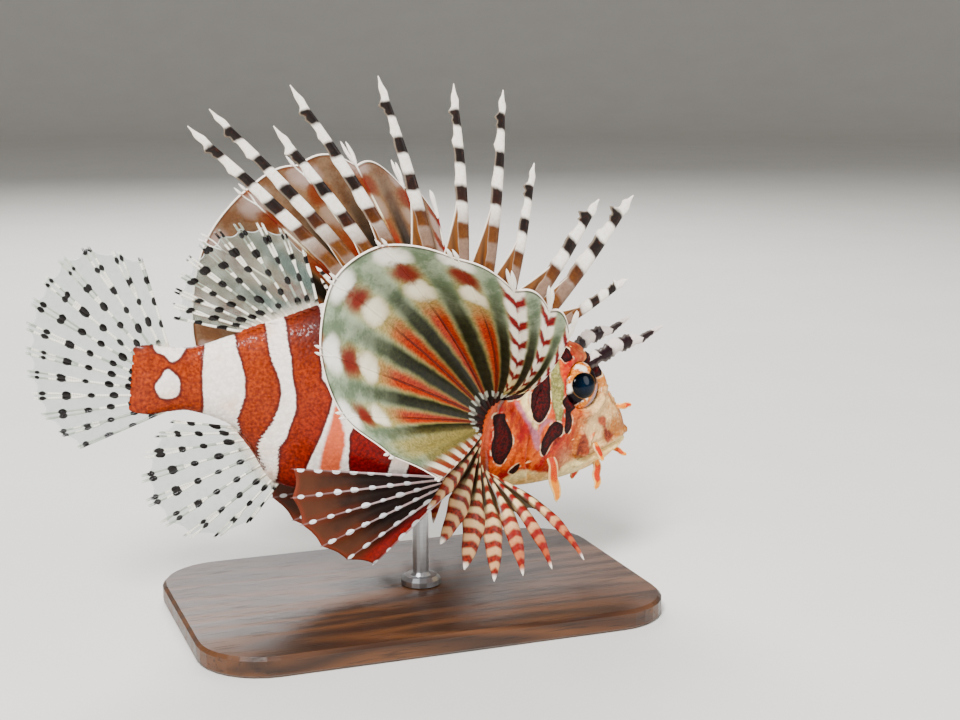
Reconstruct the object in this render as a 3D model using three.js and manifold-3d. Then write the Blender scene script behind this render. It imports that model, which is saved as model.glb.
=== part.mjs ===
// Zebra lionfish, a still model at life size, held over a plain stand.
// Lengths are millimetres. +X runs towards the head, +Y to the fish's left, +Z up.
import * as THREE from 'three';
import { mergeVertices } from 'three/addons/utils/BufferGeometryUtils.js';
import Module from 'manifold-3d';

const wasm = await Module();
wasm.setup();

const { clamp, lerp, smoothstep } = THREE.MathUtils;
const Vec = THREE.Vector3;
const RAD = Math.PI / 180;
const RIGHT = -1;
const LEFT = 1;

// Driving dimensions
const STANDARD_LENGTH = 125;
const MIDDLE = 62;
const AXIS_HEIGHT = 54;
const YAW = { tail: -3, head: 7 };
const PITCH = { tail: 6, head: 15 };
const GAP = 0.3;
const SMALLEST_DETAIL = 0.02;

// Where the body is parted, as distances from the snout
const STALK_START = 105;
const TORSO_START = 34;
const HEAD_END = 50;

// Upper and lower edge of the body above its axis, and half its breadth
const STATIONS = [
  { at: 0, top: 1.2, bottom: -4, half: 2.8 },
  { at: 3, top: 5.4, bottom: -8.4, half: 5.2 },
  { at: 8, top: 9.6, bottom: -12, half: 7.2 },
  { at: 13, top: 14.6, bottom: -14.6, half: 8.6 },
  { at: 19, top: 18.8, bottom: -17, half: 9.8 },
  { at: 27, top: 20.4, bottom: -19.4, half: 11 },
  { at: 35, top: 22.6, bottom: -20.6, half: 12.2 },
  { at: 45, top: 25, bottom: -22.6, half: 12.8 },
  { at: 60, top: 25.2, bottom: -24.6, half: 11.8 },
  { at: 72, top: 23, bottom: -25.6, half: 10.2 },
  { at: 85, top: 20.4, bottom: -25, half: 8 },
  { at: 94, top: 16.8, bottom: -22.4, half: 6.2 },
  { at: 100, top: 14.6, bottom: -14.6, half: 5.2 },
  { at: 105, top: 12.6, bottom: -9.6, half: 4.4 },
  { at: 115, top: 8.8, bottom: -6.4, half: 3.2 },
  { at: 121, top: 8.4, bottom: -7, half: 2.6 },
  { at: 125, top: 8.8, bottom: -7.8, half: 1.9 },
];
const ROUNDNESS = 2.2;

// Soft swellings of the head: place, reach and height of each
const SWELLINGS = [
  { at: 19, up: 15, reach: 5, rise: 1 },
  { at: 7, up: 5, reach: 3.5, rise: 0.6 },
  { at: 24, up: 1, reach: 4, rise: 0.7 },
  { at: 30, up: -6, reach: 6, rise: 0.7 },
  { at: 33, up: -1, reach: 3.5, rise: 0.5 },
  { at: 41, up: -3, reach: 7, rise: 0.9 },
  { at: 40, up: -14, reach: 6, rise: 0.8 },
];

// Edge of the gill cover and of the cheek, from the nape down to the throat
const GILL_EDGE = [
  [36, 30], [37.5, 22], [40.5, 10], [43.6, 2], [44.6, -4],
  [44.2, -10], [41.5, -16], [36, -21], [32, -30],
];
const CHEEK_EDGE = [[33.6, 9], [34.4, 2], [34.2, -6], [32, -12], [28.5, -16.5]];
const MOUTH_EDGE = [[-6, 1.2], [0, -1.6], [8, -6], [15, -9.6], [22, -14.6], [25.5, -27]];
const GILL_COVER_DEPTH = 6.2;
const LIP = 0.95;

const EYE = { at: 19.4, up: 9.4, radius: 6.3, bulge: 4.8, proud: 2.1 };
const RIM = 0.75;
const LEAF_THICKNESS = 0.7;

// Spines of the back: root, angle from straight ahead, and length
const BACK_SPINES = [
  { at: 27, lean: 43, length: 26 },
  { at: 30.6, lean: 64, length: 42 },
  { at: 35, lean: 68, length: 36 },
  { at: 40, lean: 92, length: 37 },
  { at: 46, lean: 97, length: 52 },
  { at: 51.5, lean: 104, length: 52 },
  { at: 57.5, lean: 116, length: 55 },
  { at: 63, lean: 130, length: 59 },
  { at: 67.3, lean: 134, length: 51 },
  { at: 71.2, lean: 139, length: 61 },
  { at: 75, lean: 141.5, length: 59, web: 1 },
  { at: 78.8, lean: 140, length: 12, web: 1 },
  { at: 82.2, lean: 127, length: 7 },
];

// The breast fins from their first ray to their last: angle from straight ahead, share
// of each ray that points sideways, length, and how far its middle swings ahead and up.
// The right fin is held lower and wider
const BREAST_FINS = {
  right: {
    side: RIGHT,
    fan: {
      lean: [106, 130, 148, 174, 190],
      flare: [0.85, 0.72, 0.465, 0.57, 0.82],
      length: [51, 61, 70.5, 79, 75, 63, 51],
      ahead: [3.5, 8, 8, 2, 0, 0, 0],
      up: [-10.5, -8.5, -2, 0, 0, 0, 0],
    },
    lower: {
      lean: [222, 249, 276, 303, 328],
      flare: [0.53, 0.53],
      length: [27, 31, 32, 30.5, 35.5],
      ahead: [0, 1, 4],
      up: [0, 0, 3.5],
    },
  },
  left: {
    side: LEFT,
    fan: {
      lean: [101, 126, 151, 176, 200],
      flare: [0.4, 0.19, 0.2, 0.32, 0.46],
      length: [50, 70, 76.5, 68, 52],
      ahead: [5, 6, 3, 0, 0, 0, 0],
      up: [-3, -2, 0, 0, 0, 0, 0],
    },
    lower: {
      lean: [224, 326],
      flare: [0.5, 0.5],
      length: [30, 32, 32, 32, 34],
      ahead: [0, 1, 4],
      up: [0, 0, 4],
    },
  },
};
const BREAST_BOW = 4;
const BREAST_ROOT = { at: 46.6, top: 4.5, split: -5.4, bottom: -15, curl: 3.2 };

const CAUDAL_WRAP = 4;

const BASE = { length: 116, width: 74, height: 5, corner: 16, bevel: 0.8 };
const ROD = { at: 59, radius: 2, footRadius: 5, footHeight: 2.2 };

// The curved axis of the body

function directionsAt(at) {
  const along = clamp((at / STANDARD_LENGTH - 0.15) / 0.55, 0, 1);
  const tailShare = smoothstep(along, 0, 1);
  const yaw = RAD * lerp(YAW.head, YAW.tail, tailShare);
  const pitch = RAD * lerp(PITCH.head, PITCH.tail, tailShare);
  const ahead = new Vec(Math.cos(yaw) * Math.cos(pitch), Math.sin(yaw) * Math.cos(pitch), -Math.sin(pitch));
  const left = new Vec(-Math.sin(yaw), Math.cos(yaw), 0);
  return { ahead, left, up: new Vec().crossVectors(ahead, left) };
}

const AXIS_STEP = 0.25;
const axisPoints = [new Vec()];
for (let at = AXIS_STEP / 2; at < STANDARD_LENGTH; at += AXIS_STEP) {
  const next = axisPoints.at(-1).clone().addScaledVector(directionsAt(at).ahead, -AXIS_STEP);
  axisPoints.push(next);
}

function axisPoint(at) {
  const inside = clamp(at, 0, STANDARD_LENGTH - 1e-6);
  const index = Math.floor(inside / AXIS_STEP);
  const point = axisPoints[index].clone().lerp(axisPoints[index + 1], inside / AXIS_STEP - index);
  return point.addScaledVector(directionsAt(at).ahead, inside - at);
}

const axisShift = new Vec(0, 0, AXIS_HEIGHT).sub(axisPoint(MIDDLE));

// A point in the fish's own directions at a distance from the snout
function place(at, ahead, left, up) {
  const directions = directionsAt(at);
  return axisPoint(at)
    .add(axisShift)
    .addScaledVector(directions.ahead, ahead)
    .addScaledVector(directions.left, left)
    .addScaledVector(directions.up, up);
}

function heading(at, ahead, left, up) {
  return place(at, ahead, left, up).sub(place(at, 0, 0, 0)).normalize();
}

// A smooth curve through the stations, for one of their sizes
function station(at, size) {
  const last = STATIONS.length - 2;
  let index = 0;
  while (index < last && STATIONS[index + 1].at < at) index += 1;
  const slope = (i) => {
    const before = STATIONS[Math.max(i - 1, 0)];
    const after = STATIONS[Math.min(i + 1, last + 1)];
    return (after[size] - before[size]) / (after.at - before.at);
  };
  const from = STATIONS[index];
  const to = STATIONS[index + 1];
  const span = to.at - from.at;
  const t = clamp((at - from.at) / span, 0, 1);
  const rest = 1 - t;
  return (
    from[size] * (1 + 2 * t) * rest * rest + to[size] * t * t * (3 - 2 * t)
    + span * (slope(index) * t * rest * rest - slope(index + 1) * t * t * rest)
  );
}

// Half the body's breadth at a height above or below its axis
function breadth(at, up) {
  const reach = up > 0 ? station(at, 'top') : -station(at, 'bottom');
  const share = clamp(Math.abs(up) / reach, 0, 1);
  return station(at, 'half') * (1 - share ** ROUNDNESS) ** (1 / ROUNDNESS);
}

function onSkin(at, up, side, depth = 0) {
  return place(at, 0, side * (breadth(at, up) - depth), up);
}

// Closed bodies

function signedVolume(points, faces) {
  let total = 0;
  for (const [a, b, c] of faces) {
    total += points[a].dot(new Vec().crossVectors(points[b], points[c]));
  }
  return total / 6;
}

function closedBody(points, faces) {
  const outward = signedVolume(points, faces) > 0;
  const geometry = new THREE.BufferGeometry();
  geometry.setAttribute('position', new THREE.Float32BufferAttribute(points.flatMap((p) => p.toArray()), 3));
  geometry.setIndex(faces.flatMap(([a, b, c]) => (outward ? [a, b, c] : [a, c, b])));
  return geometry;
}

// A skin over rings of points, closed at both ends
function lofted(rings) {
  const count = rings[0].length;
  const points = rings.flat();
  const faces = [];
  for (let ring = 0; ring + 1 < rings.length; ring += 1) {
    for (let i = 0; i < count; i += 1) {
      const a = ring * count + i;
      const b = ring * count + ((i + 1) % count);
      faces.push([a, b, b + count], [a, b + count, a + count]);
    }
  }
  for (const first of [0, (rings.length - 1) * count]) {
    const middle = new Vec();
    for (let i = 0; i < count; i += 1) middle.addScaledVector(points[first + i], 1 / count);
    points.push(middle);
    for (let i = 0; i < count; i += 1) {
      const a = first + i;
      const b = first + ((i + 1) % count);
      faces.push(first === 0 ? [b, a, points.length - 1] : [a, b, points.length - 1]);
    }
  }
  return closedBody(points, faces);
}

function swelling(at, up) {
  let rise = 0;
  for (const bump of SWELLINGS) {
    const distance = ((at - bump.at) ** 2 + (up - bump.up) ** 2) / bump.reach ** 2;
    rise += bump.rise * Math.exp(-distance);
  }
  return rise;
}

// How much further out a clearance lies where an edge of the body slopes
function slant(at, size) {
  const rise = (station(at + 0.5, size) - station(at - 0.5, size)) ** 2;
  return Math.min(Math.sqrt(1 + rise), 2.5);
}

// One ring of the body, pushed out by grow all round
function bodyRing(at, count, grow, withSwellings) {
  const ring = [];
  const growTop = grow * slant(at, 'top');
  const growBottom = grow * slant(at, 'bottom');
  for (let i = 0; i < count; i += 1) {
    const turn = (2 * Math.PI * i) / count;
    const across = Math.sign(Math.cos(turn)) * Math.abs(Math.cos(turn)) ** (2 / ROUNDNESS);
    const along = Math.sign(Math.sin(turn)) * Math.abs(Math.sin(turn)) ** (2 / ROUNDNESS);
    const reach = along > 0 ? station(at, 'top') : -station(at, 'bottom');
    const up = reach * along;
    const swollen = withSwellings ? swelling(at, up) * Math.abs(across) : 0;
    const growUp = along > 0 ? growTop : growBottom;
    ring.push(place(at, 0, (station(at, 'half') + grow + swollen) * across, (reach + growUp) * along));
  }
  return ring;
}

function bodyLength(stops, count, { grow = 0, withSwellings = false } = {}) {
  return lofted(stops.map((at) => bodyRing(at, count, grow, withSwellings)));
}

// A value along a short list that is spread evenly from share 0 to share 1
function along(values, share) {
  const spot = share * (values.length - 1);
  const index = Math.min(Math.floor(spot), values.length - 2);
  return lerp(values[index], values[index + 1], spot - index);
}

function spaced(from, to, steps) {
  return Array.from({ length: steps + 1 }, (_, i) => lerp(from, to, i / steps));
}

// Boolean joins and cuts

function welded(geometry) {
  const bare = geometry.clone();
  bare.deleteAttribute('normal');
  bare.deleteAttribute('uv');
  return mergeVertices(bare, 1e-4);
}

function solid(geometry) {
  const { attributes, index } = welded(geometry);
  return new wasm.Manifold(new wasm.Mesh({
    numProp: 3,
    vertProperties: new Float32Array(attributes.position.array),
    triVerts: new Uint32Array(index.array),
  }));
}

function joined(geometries) {
  return geometries.map(solid).reduce((whole, piece) => whole.add(piece));
}

function largest(whole) {
  const pieces = whole.decompose();
  return pieces.reduce((best, piece) => (piece.volume() > best.volume() ? piece : best));
}

function geometryOf(whole) {
  const { vertProperties, triVerts } = largest(whole).simplify(SMALLEST_DETAIL).getMesh();
  const geometry = new THREE.BufferGeometry();
  geometry.setAttribute('position', new THREE.BufferAttribute(new Float32Array(vertProperties), 3));
  geometry.setIndex(new THREE.BufferAttribute(new Uint32Array(triVerts), 1));
  return geometry;
}

// A closed outline in the fish's side view, made into a wall across its breadth
function sideRegion(outline, from = -30, to = 30) {
  const flat = outline.map(([at, up]) => new THREE.Vector2(at, up));
  if (THREE.ShapeUtils.isClockWise(flat)) flat.reverse();
  const count = flat.length;
  const points = [from, to].flatMap((across) => flat.map(({ x, y }) => place(x, 0, across, y)));
  const faces = [];
  for (const [a, b, c] of THREE.ShapeUtils.triangulateShape(flat, [])) {
    const ahead = THREE.ShapeUtils.area([flat[a], flat[b], flat[c]]) > 0;
    const [p, q] = ahead ? [b, c] : [c, b];
    faces.push([a, p, q], [a + count, q + count, p + count]);
  }
  for (let i = 0; i < count; i += 1) {
    const j = (i + 1) % count;
    faces.push([j, i, i + count], [j, i + count, j + count]);
  }
  return closedBody(points, faces);
}

// An edge drawn finer, as a smooth line through its points
function fineEdge(edge, steps, shift = 0) {
  const curve = new THREE.SplineCurve(edge.map(([at, up]) => new THREE.Vector2(at, up)));
  return curve.getPoints(steps).map((point, i) => {
    const run = curve.getTangent(i / steps);
    return [point.x - run.y * shift, point.y + run.x * shift];
  });
}

// Fins: a sheet of rays and webs, then given its thickness on both faces

function thickened(points, halves, faces) {
  const normals = points.map(() => new Vec());
  const edges = new Map();
  for (const face of faces) {
    const [a, b, c] = face.map((index) => points[index]);
    const normal = new Vec().crossVectors(b.clone().sub(a), c.clone().sub(a));
    face.forEach((index, i) => {
      normals[index].add(normal);
      edges.set(`${index},${face[(i + 1) % 3]}`, [index, face[(i + 1) % 3]]);
    });
  }
  normals.forEach((normal) => normal.normalize());
  const count = points.length;
  const both = [];
  for (const sign of [1, -1]) {
    points.forEach((point, i) => both.push(point.clone().addScaledVector(normals[i], sign * halves[i])));
  }
  const closed = [];
  for (const [a, b, c] of faces) closed.push([a, b, c], [a + count, c + count, b + count]);
  for (const [a, b] of edges.values()) {
    if (!edges.has(`${b},${a}`)) closed.push([b, a, a + count], [b, a + count, b + count]);
  }
  return closedBody(both, closed);
}

// rays: points from root to tip, width and half thickness at each of them
// webs: how many points of this ray and of the next the web between them joins
function finSheet(rays, webs, webHalf) {
  const points = [];
  const halves = [];
  const faces = [];
  const add = (point, half) => {
    points.push(point);
    halves.push(half);
    return points.length - 1;
  };
  const columns = rays.map((ray, r) => {
    const before = rays[Math.max(r - 1, 0)];
    const after = rays[Math.min(r + 1, rays.length - 1)];
    const column = { near: [], crest: [], far: [] };
    ray.points.forEach((point, i) => {
      const tip = ray.points.length - 1;
      const run = ray.points[Math.min(i + 1, tip)].clone().sub(ray.points[Math.max(i - 1, 0)]).normalize();
      const last = Math.min(i, after.points.length - 1, before.points.length - 1);
      const across = after.points[last].clone().sub(before.points[last]);
      across.addScaledVector(run, -across.dot(run)).setLength(ray.widths[i] / 2);
      const edgeHalf = Math.min(webHalf, ray.halves[i]);
      column.near.push(add(point.clone().sub(across), edgeHalf));
      column.crest.push(add(point.clone(), ray.halves[i]));
      column.far.push(add(point.clone().add(across), edgeHalf));
    });
    return column;
  });
  const strip = (one, two) => {
    let i = 0;
    let j = 0;
    while (i + 1 < one.length || j + 1 < two.length) {
      const behind = (i + 1) * (two.length - 1) <= (j + 1) * (one.length - 1);
      if (j + 1 >= two.length || (i + 1 < one.length && behind)) {
        faces.push([one[i], two[j], one[i + 1]]);
        i += 1;
      } else {
        faces.push([one[i], two[j], two[j + 1]]);
        j += 1;
      }
    }
  };
  columns.forEach((column) => {
    strip(column.near, column.crest);
    strip(column.crest, column.far);
  });
  webs.forEach((web, r) => {
    const one = columns[r].far.slice(0, web.near + 1);
    const two = columns[r + 1].near.slice(0, web.far + 1);
    if (!web.notch) {
      strip(one, two);
      return;
    }
    const [rimOne, rimTwo] = [one.pop(), two.pop()];
    strip(one, two);
    const rim = points[rimOne].clone().lerp(points[rimTwo], 0.5);
    const inner = points[one.at(-1)].clone().lerp(points[two.at(-1)], 0.5);
    const dip = add(rim.lerp(inner, web.notch), webHalf);
    faces.push([one.at(-1), two.at(-1), dip], [one.at(-1), dip, rimOne], [two.at(-1), rimTwo, dip]);
  });
  return thickened(points, halves, faces);
}

// One ray or spine: sunk into the body, bowed off its straight line, its tip free of the web
function ray({ root, inward, direction, length, bow, steps, free, width, half }) {
  const tip = root.clone().addScaledVector(direction, length);
  const curve = new THREE.QuadraticBezierCurve3(root, root.clone().lerp(tip, 0.5).add(bow), tip);
  const shares = [...spaced(0, 1 - free, steps), 1];
  const taper = [1, ...shares.map((share) => 1 - share ** 1.6)];
  return {
    points: [root.clone().add(inward), ...shares.map((share) => curve.getPoint(share))],
    widths: taper.map((share) => lerp(width.tip, width.root, share)),
    halves: taper.map((share) => lerp(half.tip, half.root, share)),
  };
}

// The parts of the model

const group = new THREE.Group();

function addPart(name, geometry, colour, roughness = 0.6, metalness = 0) {
  const material = new THREE.MeshStandardMaterial({ color: colour, roughness, metalness });
  const mesh = new THREE.Mesh(geometry, material);
  mesh.name = name;
  group.add(mesh);
}

// Body lengths before they are parted, each with the clearance that fins keep from it
const headStops = [0, 1.2, 3, ...spaced(5.4, HEAD_END, 17)];
const torsoStops = spaced(TORSO_START, STALK_START, 14);
const stalkStops = spaced(STALK_START + GAP, STANDARD_LENGTH, 5);
const headBlank = solid(bodyLength(headStops, 30, { withSwellings: true }));
const torsoBlank = solid(bodyLength(torsoStops, 26));
const headClearance = solid(bodyLength(headStops, 30, { grow: GAP, withSwellings: true }));
const torsoClearance = solid(bodyLength([...torsoStops, STALK_START + GAP], 26, { grow: GAP }));
const stalkClearance = solid(bodyLength([...stalkStops, STANDARD_LENGTH + GAP], 22, { grow: GAP }));
const clearance = headClearance.add(torsoClearance).add(stalkClearance);

// Eyes, set in the head and turned with its surface
function eyeBall(side, grow) {
  const outward = heading(EYE.at, 0.24, side, 0.18);
  const centre = onSkin(EYE.at, EYE.up, side).addScaledVector(outward, EYE.proud - EYE.bulge);
  const turn = new THREE.Quaternion().setFromUnitVectors(new Vec(0, 1, 0), outward);
  const size = new Vec(EYE.radius + grow, EYE.bulge + grow, EYE.radius + grow);
  const ball = welded(new THREE.SphereGeometry(1, 16, 10));
  ball.applyMatrix4(new THREE.Matrix4().compose(centre, turn, size));
  return { outward, centre, turn, ball };
}

function orbitRim(side, grow = 0) {
  const { outward, centre, turn } = eyeBall(side, 0);
  const ring = new THREE.TorusGeometry(EYE.radius + 0.35, RIM + grow, 5, 18).rotateX(Math.PI / 2);
  const seat = centre.clone().addScaledVector(outward, EYE.bulge * 0.38);
  return welded(ring).applyMatrix4(new THREE.Matrix4().compose(seat, turn, new Vec(1, 1, 1)));
}

// Lips: one roll along the mouth, parted with the jaw
function lips() {
  const stops = [15, 11, 6, 2, 0.2];
  const edge = new THREE.SplineCurve(MOUTH_EDGE.map(([at, up]) => new THREE.Vector2(at, up)));
  const upAt = (at) => {
    let best = edge.getPoint(0);
    for (const point of edge.getPoints(200)) {
      if (Math.abs(point.x - at) < Math.abs(best.x - at)) best = point;
    }
    return best.y;
  };
  const side = (sign) => stops.map((at) => onSkin(at, upAt(at), sign, 0.35));
  const front = place(0, 0.35, 0, upAt(0));
  const path = new THREE.CatmullRomCurve3([...side(RIGHT), front, ...side(LEFT).reverse()]);
  const steps = 20;
  const rings = path.getPoints(steps).map((point, i) => {
    const run = path.getTangent(i / steps);
    const up = heading(5, 0.3, 0, 1);
    const out = new Vec().crossVectors(run, up).normalize();
    const above = new Vec().crossVectors(out, run).normalize();
    const fade = 0.45 + 0.55 * Math.max(Math.sin((Math.PI * i) / steps), 0) ** 0.4;
    return spaced(0, 5, 5).map((k) => {
      const turn = (k * Math.PI) / 3;
      return point.clone()
        .addScaledVector(out, LIP * fade * Math.cos(turn))
        .addScaledVector(above, LIP * 1.25 * fade * Math.sin(turn));
    });
  });
  return lofted(rings);
}

// A soft flat leaf of skin that hangs from a root
function leaf({ root, direction, flat, length, width }) {
  const run = direction.clone().normalize();
  const across = flat.clone().addScaledVector(run, -flat.dot(run)).normalize();
  const face = new Vec().crossVectors(run, across);
  const steps = 5;
  const rings = spaced(0, 1, steps).map((share) => {
    const middle = root.clone().addScaledVector(run, length * (share - 0.14));
    const atTip = share > 0.99;
    const belly = 0.5 + 0.5 * Math.sin(Math.PI * Math.min(share * 1.15, 1));
    const wide = (width * belly * (atTip ? 0.35 : 1)) / 2;
    const thick = (LEAF_THICKNESS * (atTip ? 0.5 : 1)) / 2;
    return spaced(0, 3, 3).map((k) => middle.clone()
      .addScaledVector(across, wide * Math.cos((k * Math.PI) / 2))
      .addScaledVector(face, thick * Math.sin((k * Math.PI) / 2)));
  });
  return lofted(rings);
}

function spur(at, up, side, { length, width, ahead, rise }) {
  const direction = heading(at, ahead, side * 0.75, rise);
  const cone = welded(new THREE.ConeGeometry(width, length, 5, 1));
  const turn = new THREE.Quaternion().setFromUnitVectors(new Vec(0, 1, 0), direction);
  const centre = onSkin(at, up, side).addScaledVector(direction, length / 2 - 0.9);
  return cone.applyMatrix4(new THREE.Matrix4().compose(centre, turn, new Vec(1, 1, 1)));
}

const SPURS = [
  { at: 9, up: 7.4, length: 2.2, width: 0.6, ahead: -0.2, rise: 1 },
  { at: 15.4, up: 15.2, length: 2.6, width: 0.8, ahead: -0.6, rise: 1 },
  { at: 26.5, up: 16, length: 3, width: 0.9, ahead: -1.4, rise: 0.8 },
  { at: 27.5, up: 2.4, length: 2.8, width: 0.8, ahead: -1.6, rise: 0.1 },
  { at: 13, up: -2, length: 2.6, width: 0.8, ahead: -0.2, rise: -1.2 },
  { at: 31.4, up: -4, length: 2.8, width: 0.8, ahead: -1.5, rise: -0.3 },
  { at: 29.6, up: -11, length: 2.6, width: 0.8, ahead: -1.2, rise: -0.8 },
];

// Leaves of the upper head and of the jaw: root, way it hangs, way its flat side runs
const HEAD_LEAVES = [
  { at: 24.6, up: -9.6, hang: [0.3, 0.2, -1], across: [1, 0, 0], length: 12.5, width: 3.4 },
  { at: 5.2, up: 5.4, hang: [0.8, 0.8, 0.45], across: [0, 0, 1], length: 4.4, width: 1.8 },
  { at: 11.5, up: -4.4, hang: [0.3, 0.9, -1], across: [1, 0, 0], length: 6, width: 2.2 },
];
const JAW_LEAVES = [
  { at: 7.6, up: -9, hang: [0.1, 0.2, -1], across: [1, 0, 0], length: 8.5, width: 2.6 },
  { at: 2.4, up: -5.4, hang: [1, 0.5, -0.35], across: [0, 0, 1], length: 4.2, width: 1.4 },
];

function leaves(list) {
  return [RIGHT, LEFT].flatMap((side) => list.map(({ at, up, hang, across, ...sizes }) => leaf({
    root: onSkin(at, up, side),
    direction: heading(at, hang[0], side * hang[1], hang[2]),
    flat: heading(at, ...across),
    ...sizes,
  })));
}

function nostril(at, up, side) {
  return welded(new THREE.SphereGeometry(0.75, 6, 4)).translate(...onSkin(at, up, side, -0.1).toArray());
}

function makeHead() {
  const rims = [RIGHT, LEFT].map((side) => orbitRim(side));
  const spurs = [RIGHT, LEFT].flatMap((side) => SPURS.map((one) => spur(one.at, one.up, side, one)));
  const pits = [RIGHT, LEFT].flatMap((side) => [nostril(6.4, 8, side), nostril(10, 11, side)]);
  const sockets = [RIGHT, LEFT].map((side) => eyeBall(side, GAP).ball);

  const front = fineEdge(GILL_EDGE, 16);
  const headRegion = solid(sideRegion([...front, [-8, -30], [-8, 30]]));
  const mouth = fineEdge(MOUTH_EDGE, 14);
  const jawRegion = solid(sideRegion([...mouth, [-6, -26]]));
  const mouthGap = solid(sideRegion([...fineEdge(MOUTH_EDGE, 14, GAP), [-6.5, -26.5]]));

  let whole = joined([lips(), ...rims, ...spurs]).add(headBlank).intersect(headRegion);
  whole = whole.subtract(joined(sockets)).subtract(joined(pits));
  const jaw = headBlank.add(solid(lips())).intersect(jawRegion).add(joined(leaves(JAW_LEAVES)));
  let upper = whole.subtract(mouthGap).add(joined(leaves(HEAD_LEAVES)));

  const coverEdges = (grow) => {
    const cheek = fineEdge(CHEEK_EDGE, 8, -grow);
    return [[40.2, 9.6 + grow], ...cheek, [32, -19 - grow], [46, -19 - grow], [52, -4], [46, 9.6 + grow]];
  };
  const coverRegion = (side, grow) => {
    const ends = [side * (GILL_COVER_DEPTH - grow), side * 30].sort((a, b) => a - b);
    return solid(sideRegion(coverEdges(grow), ...ends));
  };
  const covers = [RIGHT, LEFT].map((side) => {
    upper = upper.subtract(coverRegion(side, GAP));
    return whole.intersect(coverRegion(side, 0));
  });
  return { upper, jaw, covers };
}

const head = makeHead();
addPart('head', geometryOf(head.upper), 0xd9854a, 0.55);
addPart('lower_jaw', geometryOf(head.jaw), 0xe8c99a, 0.55);
addPart('gill_cover_right', geometryOf(head.covers[0]), 0xc8552c, 0.55);
addPart('gill_cover_left', geometryOf(head.covers[1]), 0xc8552c, 0.55);
addPart('eye_right', eyeBall(RIGHT, 0).ball, 0x16223a, 0.08);
addPart('eye_left', eyeBall(LEFT, 0).ball, 0x16223a, 0.08);

const behindGills = solid(sideRegion([...fineEdge(GILL_EDGE, 16, GAP), [130, -40], [130, 40]]));
addPart('torso', geometryOf(torsoBlank.intersect(behindGills)), 0xb4431c, 0.6);
addPart('tail_stalk', bodyLength(stalkStops, 22), 0xc2531f, 0.6);

function rooted(geometry, from = clearance) {
  return geometryOf(solid(geometry).subtract(from));
}

// The fin of the back: spines with a short web behind each
const backSpines = BACK_SPINES.map(({ at, lean, length }) => ray({
  root: place(at, 0, 0, station(at, 'top')),
  direction: heading(at, Math.cos(lean * RAD), 0, Math.sin(lean * RAD)),
  inward: heading(at, -Math.cos(lean * RAD), 0, -Math.sin(lean * RAD)).multiplyScalar(3),
  length,
  bow: heading(at, 1, 0, 0.4).multiplyScalar(length * 0.04),
  steps: 5,
  free: 0.16,
  width: { root: Math.min(2.2, 0.8 + length / 25), tip: 0.6 },
  half: { root: 0.95, tip: 0.25 },
}));
const backWebs = BACK_SPINES.slice(0, -1).map(({ web = 3 }) => ({ near: web + 1, far: Math.min(web, 2) }));
addPart('dorsal_fin_spines', rooted(finSheet(backSpines, backWebs, 0.28)), 0xa8553a);

// A fin of many rays along a root line
function fanFin({ count, root, sunk, direction, length, bow = () => new Vec(), ...sizes }) {
  const rays = spaced(0, 1, count - 1).map((share) => ray({
    root: root(share),
    inward: direction(0.5).multiplyScalar(-sunk),
    direction: direction(share),
    length: length(share),
    bow: bow(share),
    ...sizes,
  }));
  const rows = sizes.steps + 1;
  const webs = rays.slice(1).map(() => ({ near: rows, far: rows, notch: sizes.notch }));
  return finSheet(rays, webs, sizes.webHalf);
}

const swell = (share) => Math.sin(Math.PI * share);
const RAY_WIDTH = { root: 1, tip: 0.5 };
const RAY_HALF = { root: 0.55, tip: 0.25 };
const WEB_HALF = 0.25;

addPart('soft_dorsal_fin', rooted(fanFin({
  count: 11,
  root: (share) => place(lerp(86.4, 104.2, share), 0, 0, station(lerp(86.4, 104.2, share), 'top')),
  direction: (share) => {
    const lean = RAD * lerp(108, 172, share);
    return heading(95, Math.cos(lean), 0, Math.sin(lean));
  },
  length: (share) => 14 + 3 * share + 12.5 * swell(share ** 0.75),
  steps: 3,
  free: 0.12,
  notch: 0.1,
  width: RAY_WIDTH,
  half: RAY_HALF,
  webHalf: WEB_HALF,
  sunk: 2,
})), 0xb9a184);

addPart('anal_fin', rooted(fanFin({
  count: 9,
  root: (share) => place(lerp(92.6, 104.6, share), 0, 0, station(lerp(92.6, 104.6, share), 'bottom') - 0.4),
  direction: (share) => {
    const lean = RAD * lerp(238, 175, share);
    return heading(98, Math.cos(lean), 0, Math.sin(lean));
  },
  length: (share) => 12 + 15.5 * swell(share ** 0.9) + 3 * share,
  steps: 3,
  free: 0.1,
  notch: 0.1,
  width: RAY_WIDTH,
  half: RAY_HALF,
  webHalf: WEB_HALF,
  sunk: 2,
})), 0xc9bda6);

addPart('caudal_fin', rooted(fanFin({
  count: 13,
  root: (share) => {
    const forward = CAUDAL_WRAP * (2 * share - 1) ** 2;
    return place(STANDARD_LENGTH - forward, 0, 0, lerp(8.2, -6.9, share));
  },
  direction: (share) => {
    const lean = RAD * lerp(110, 207, share);
    return heading(STANDARD_LENGTH, Math.cos(lean), 0, Math.sin(lean));
  },
  length: (share) => along([22.8, 33.8, 33.2, 30, 27.5, 22], share),
  steps: 4,
  free: 0.06,
  notch: 0.12,
  width: RAY_WIDTH,
  half: RAY_HALF,
  webHalf: WEB_HALF,
  sunk: 1.5,
})), 0xc6c0b0);

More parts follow.
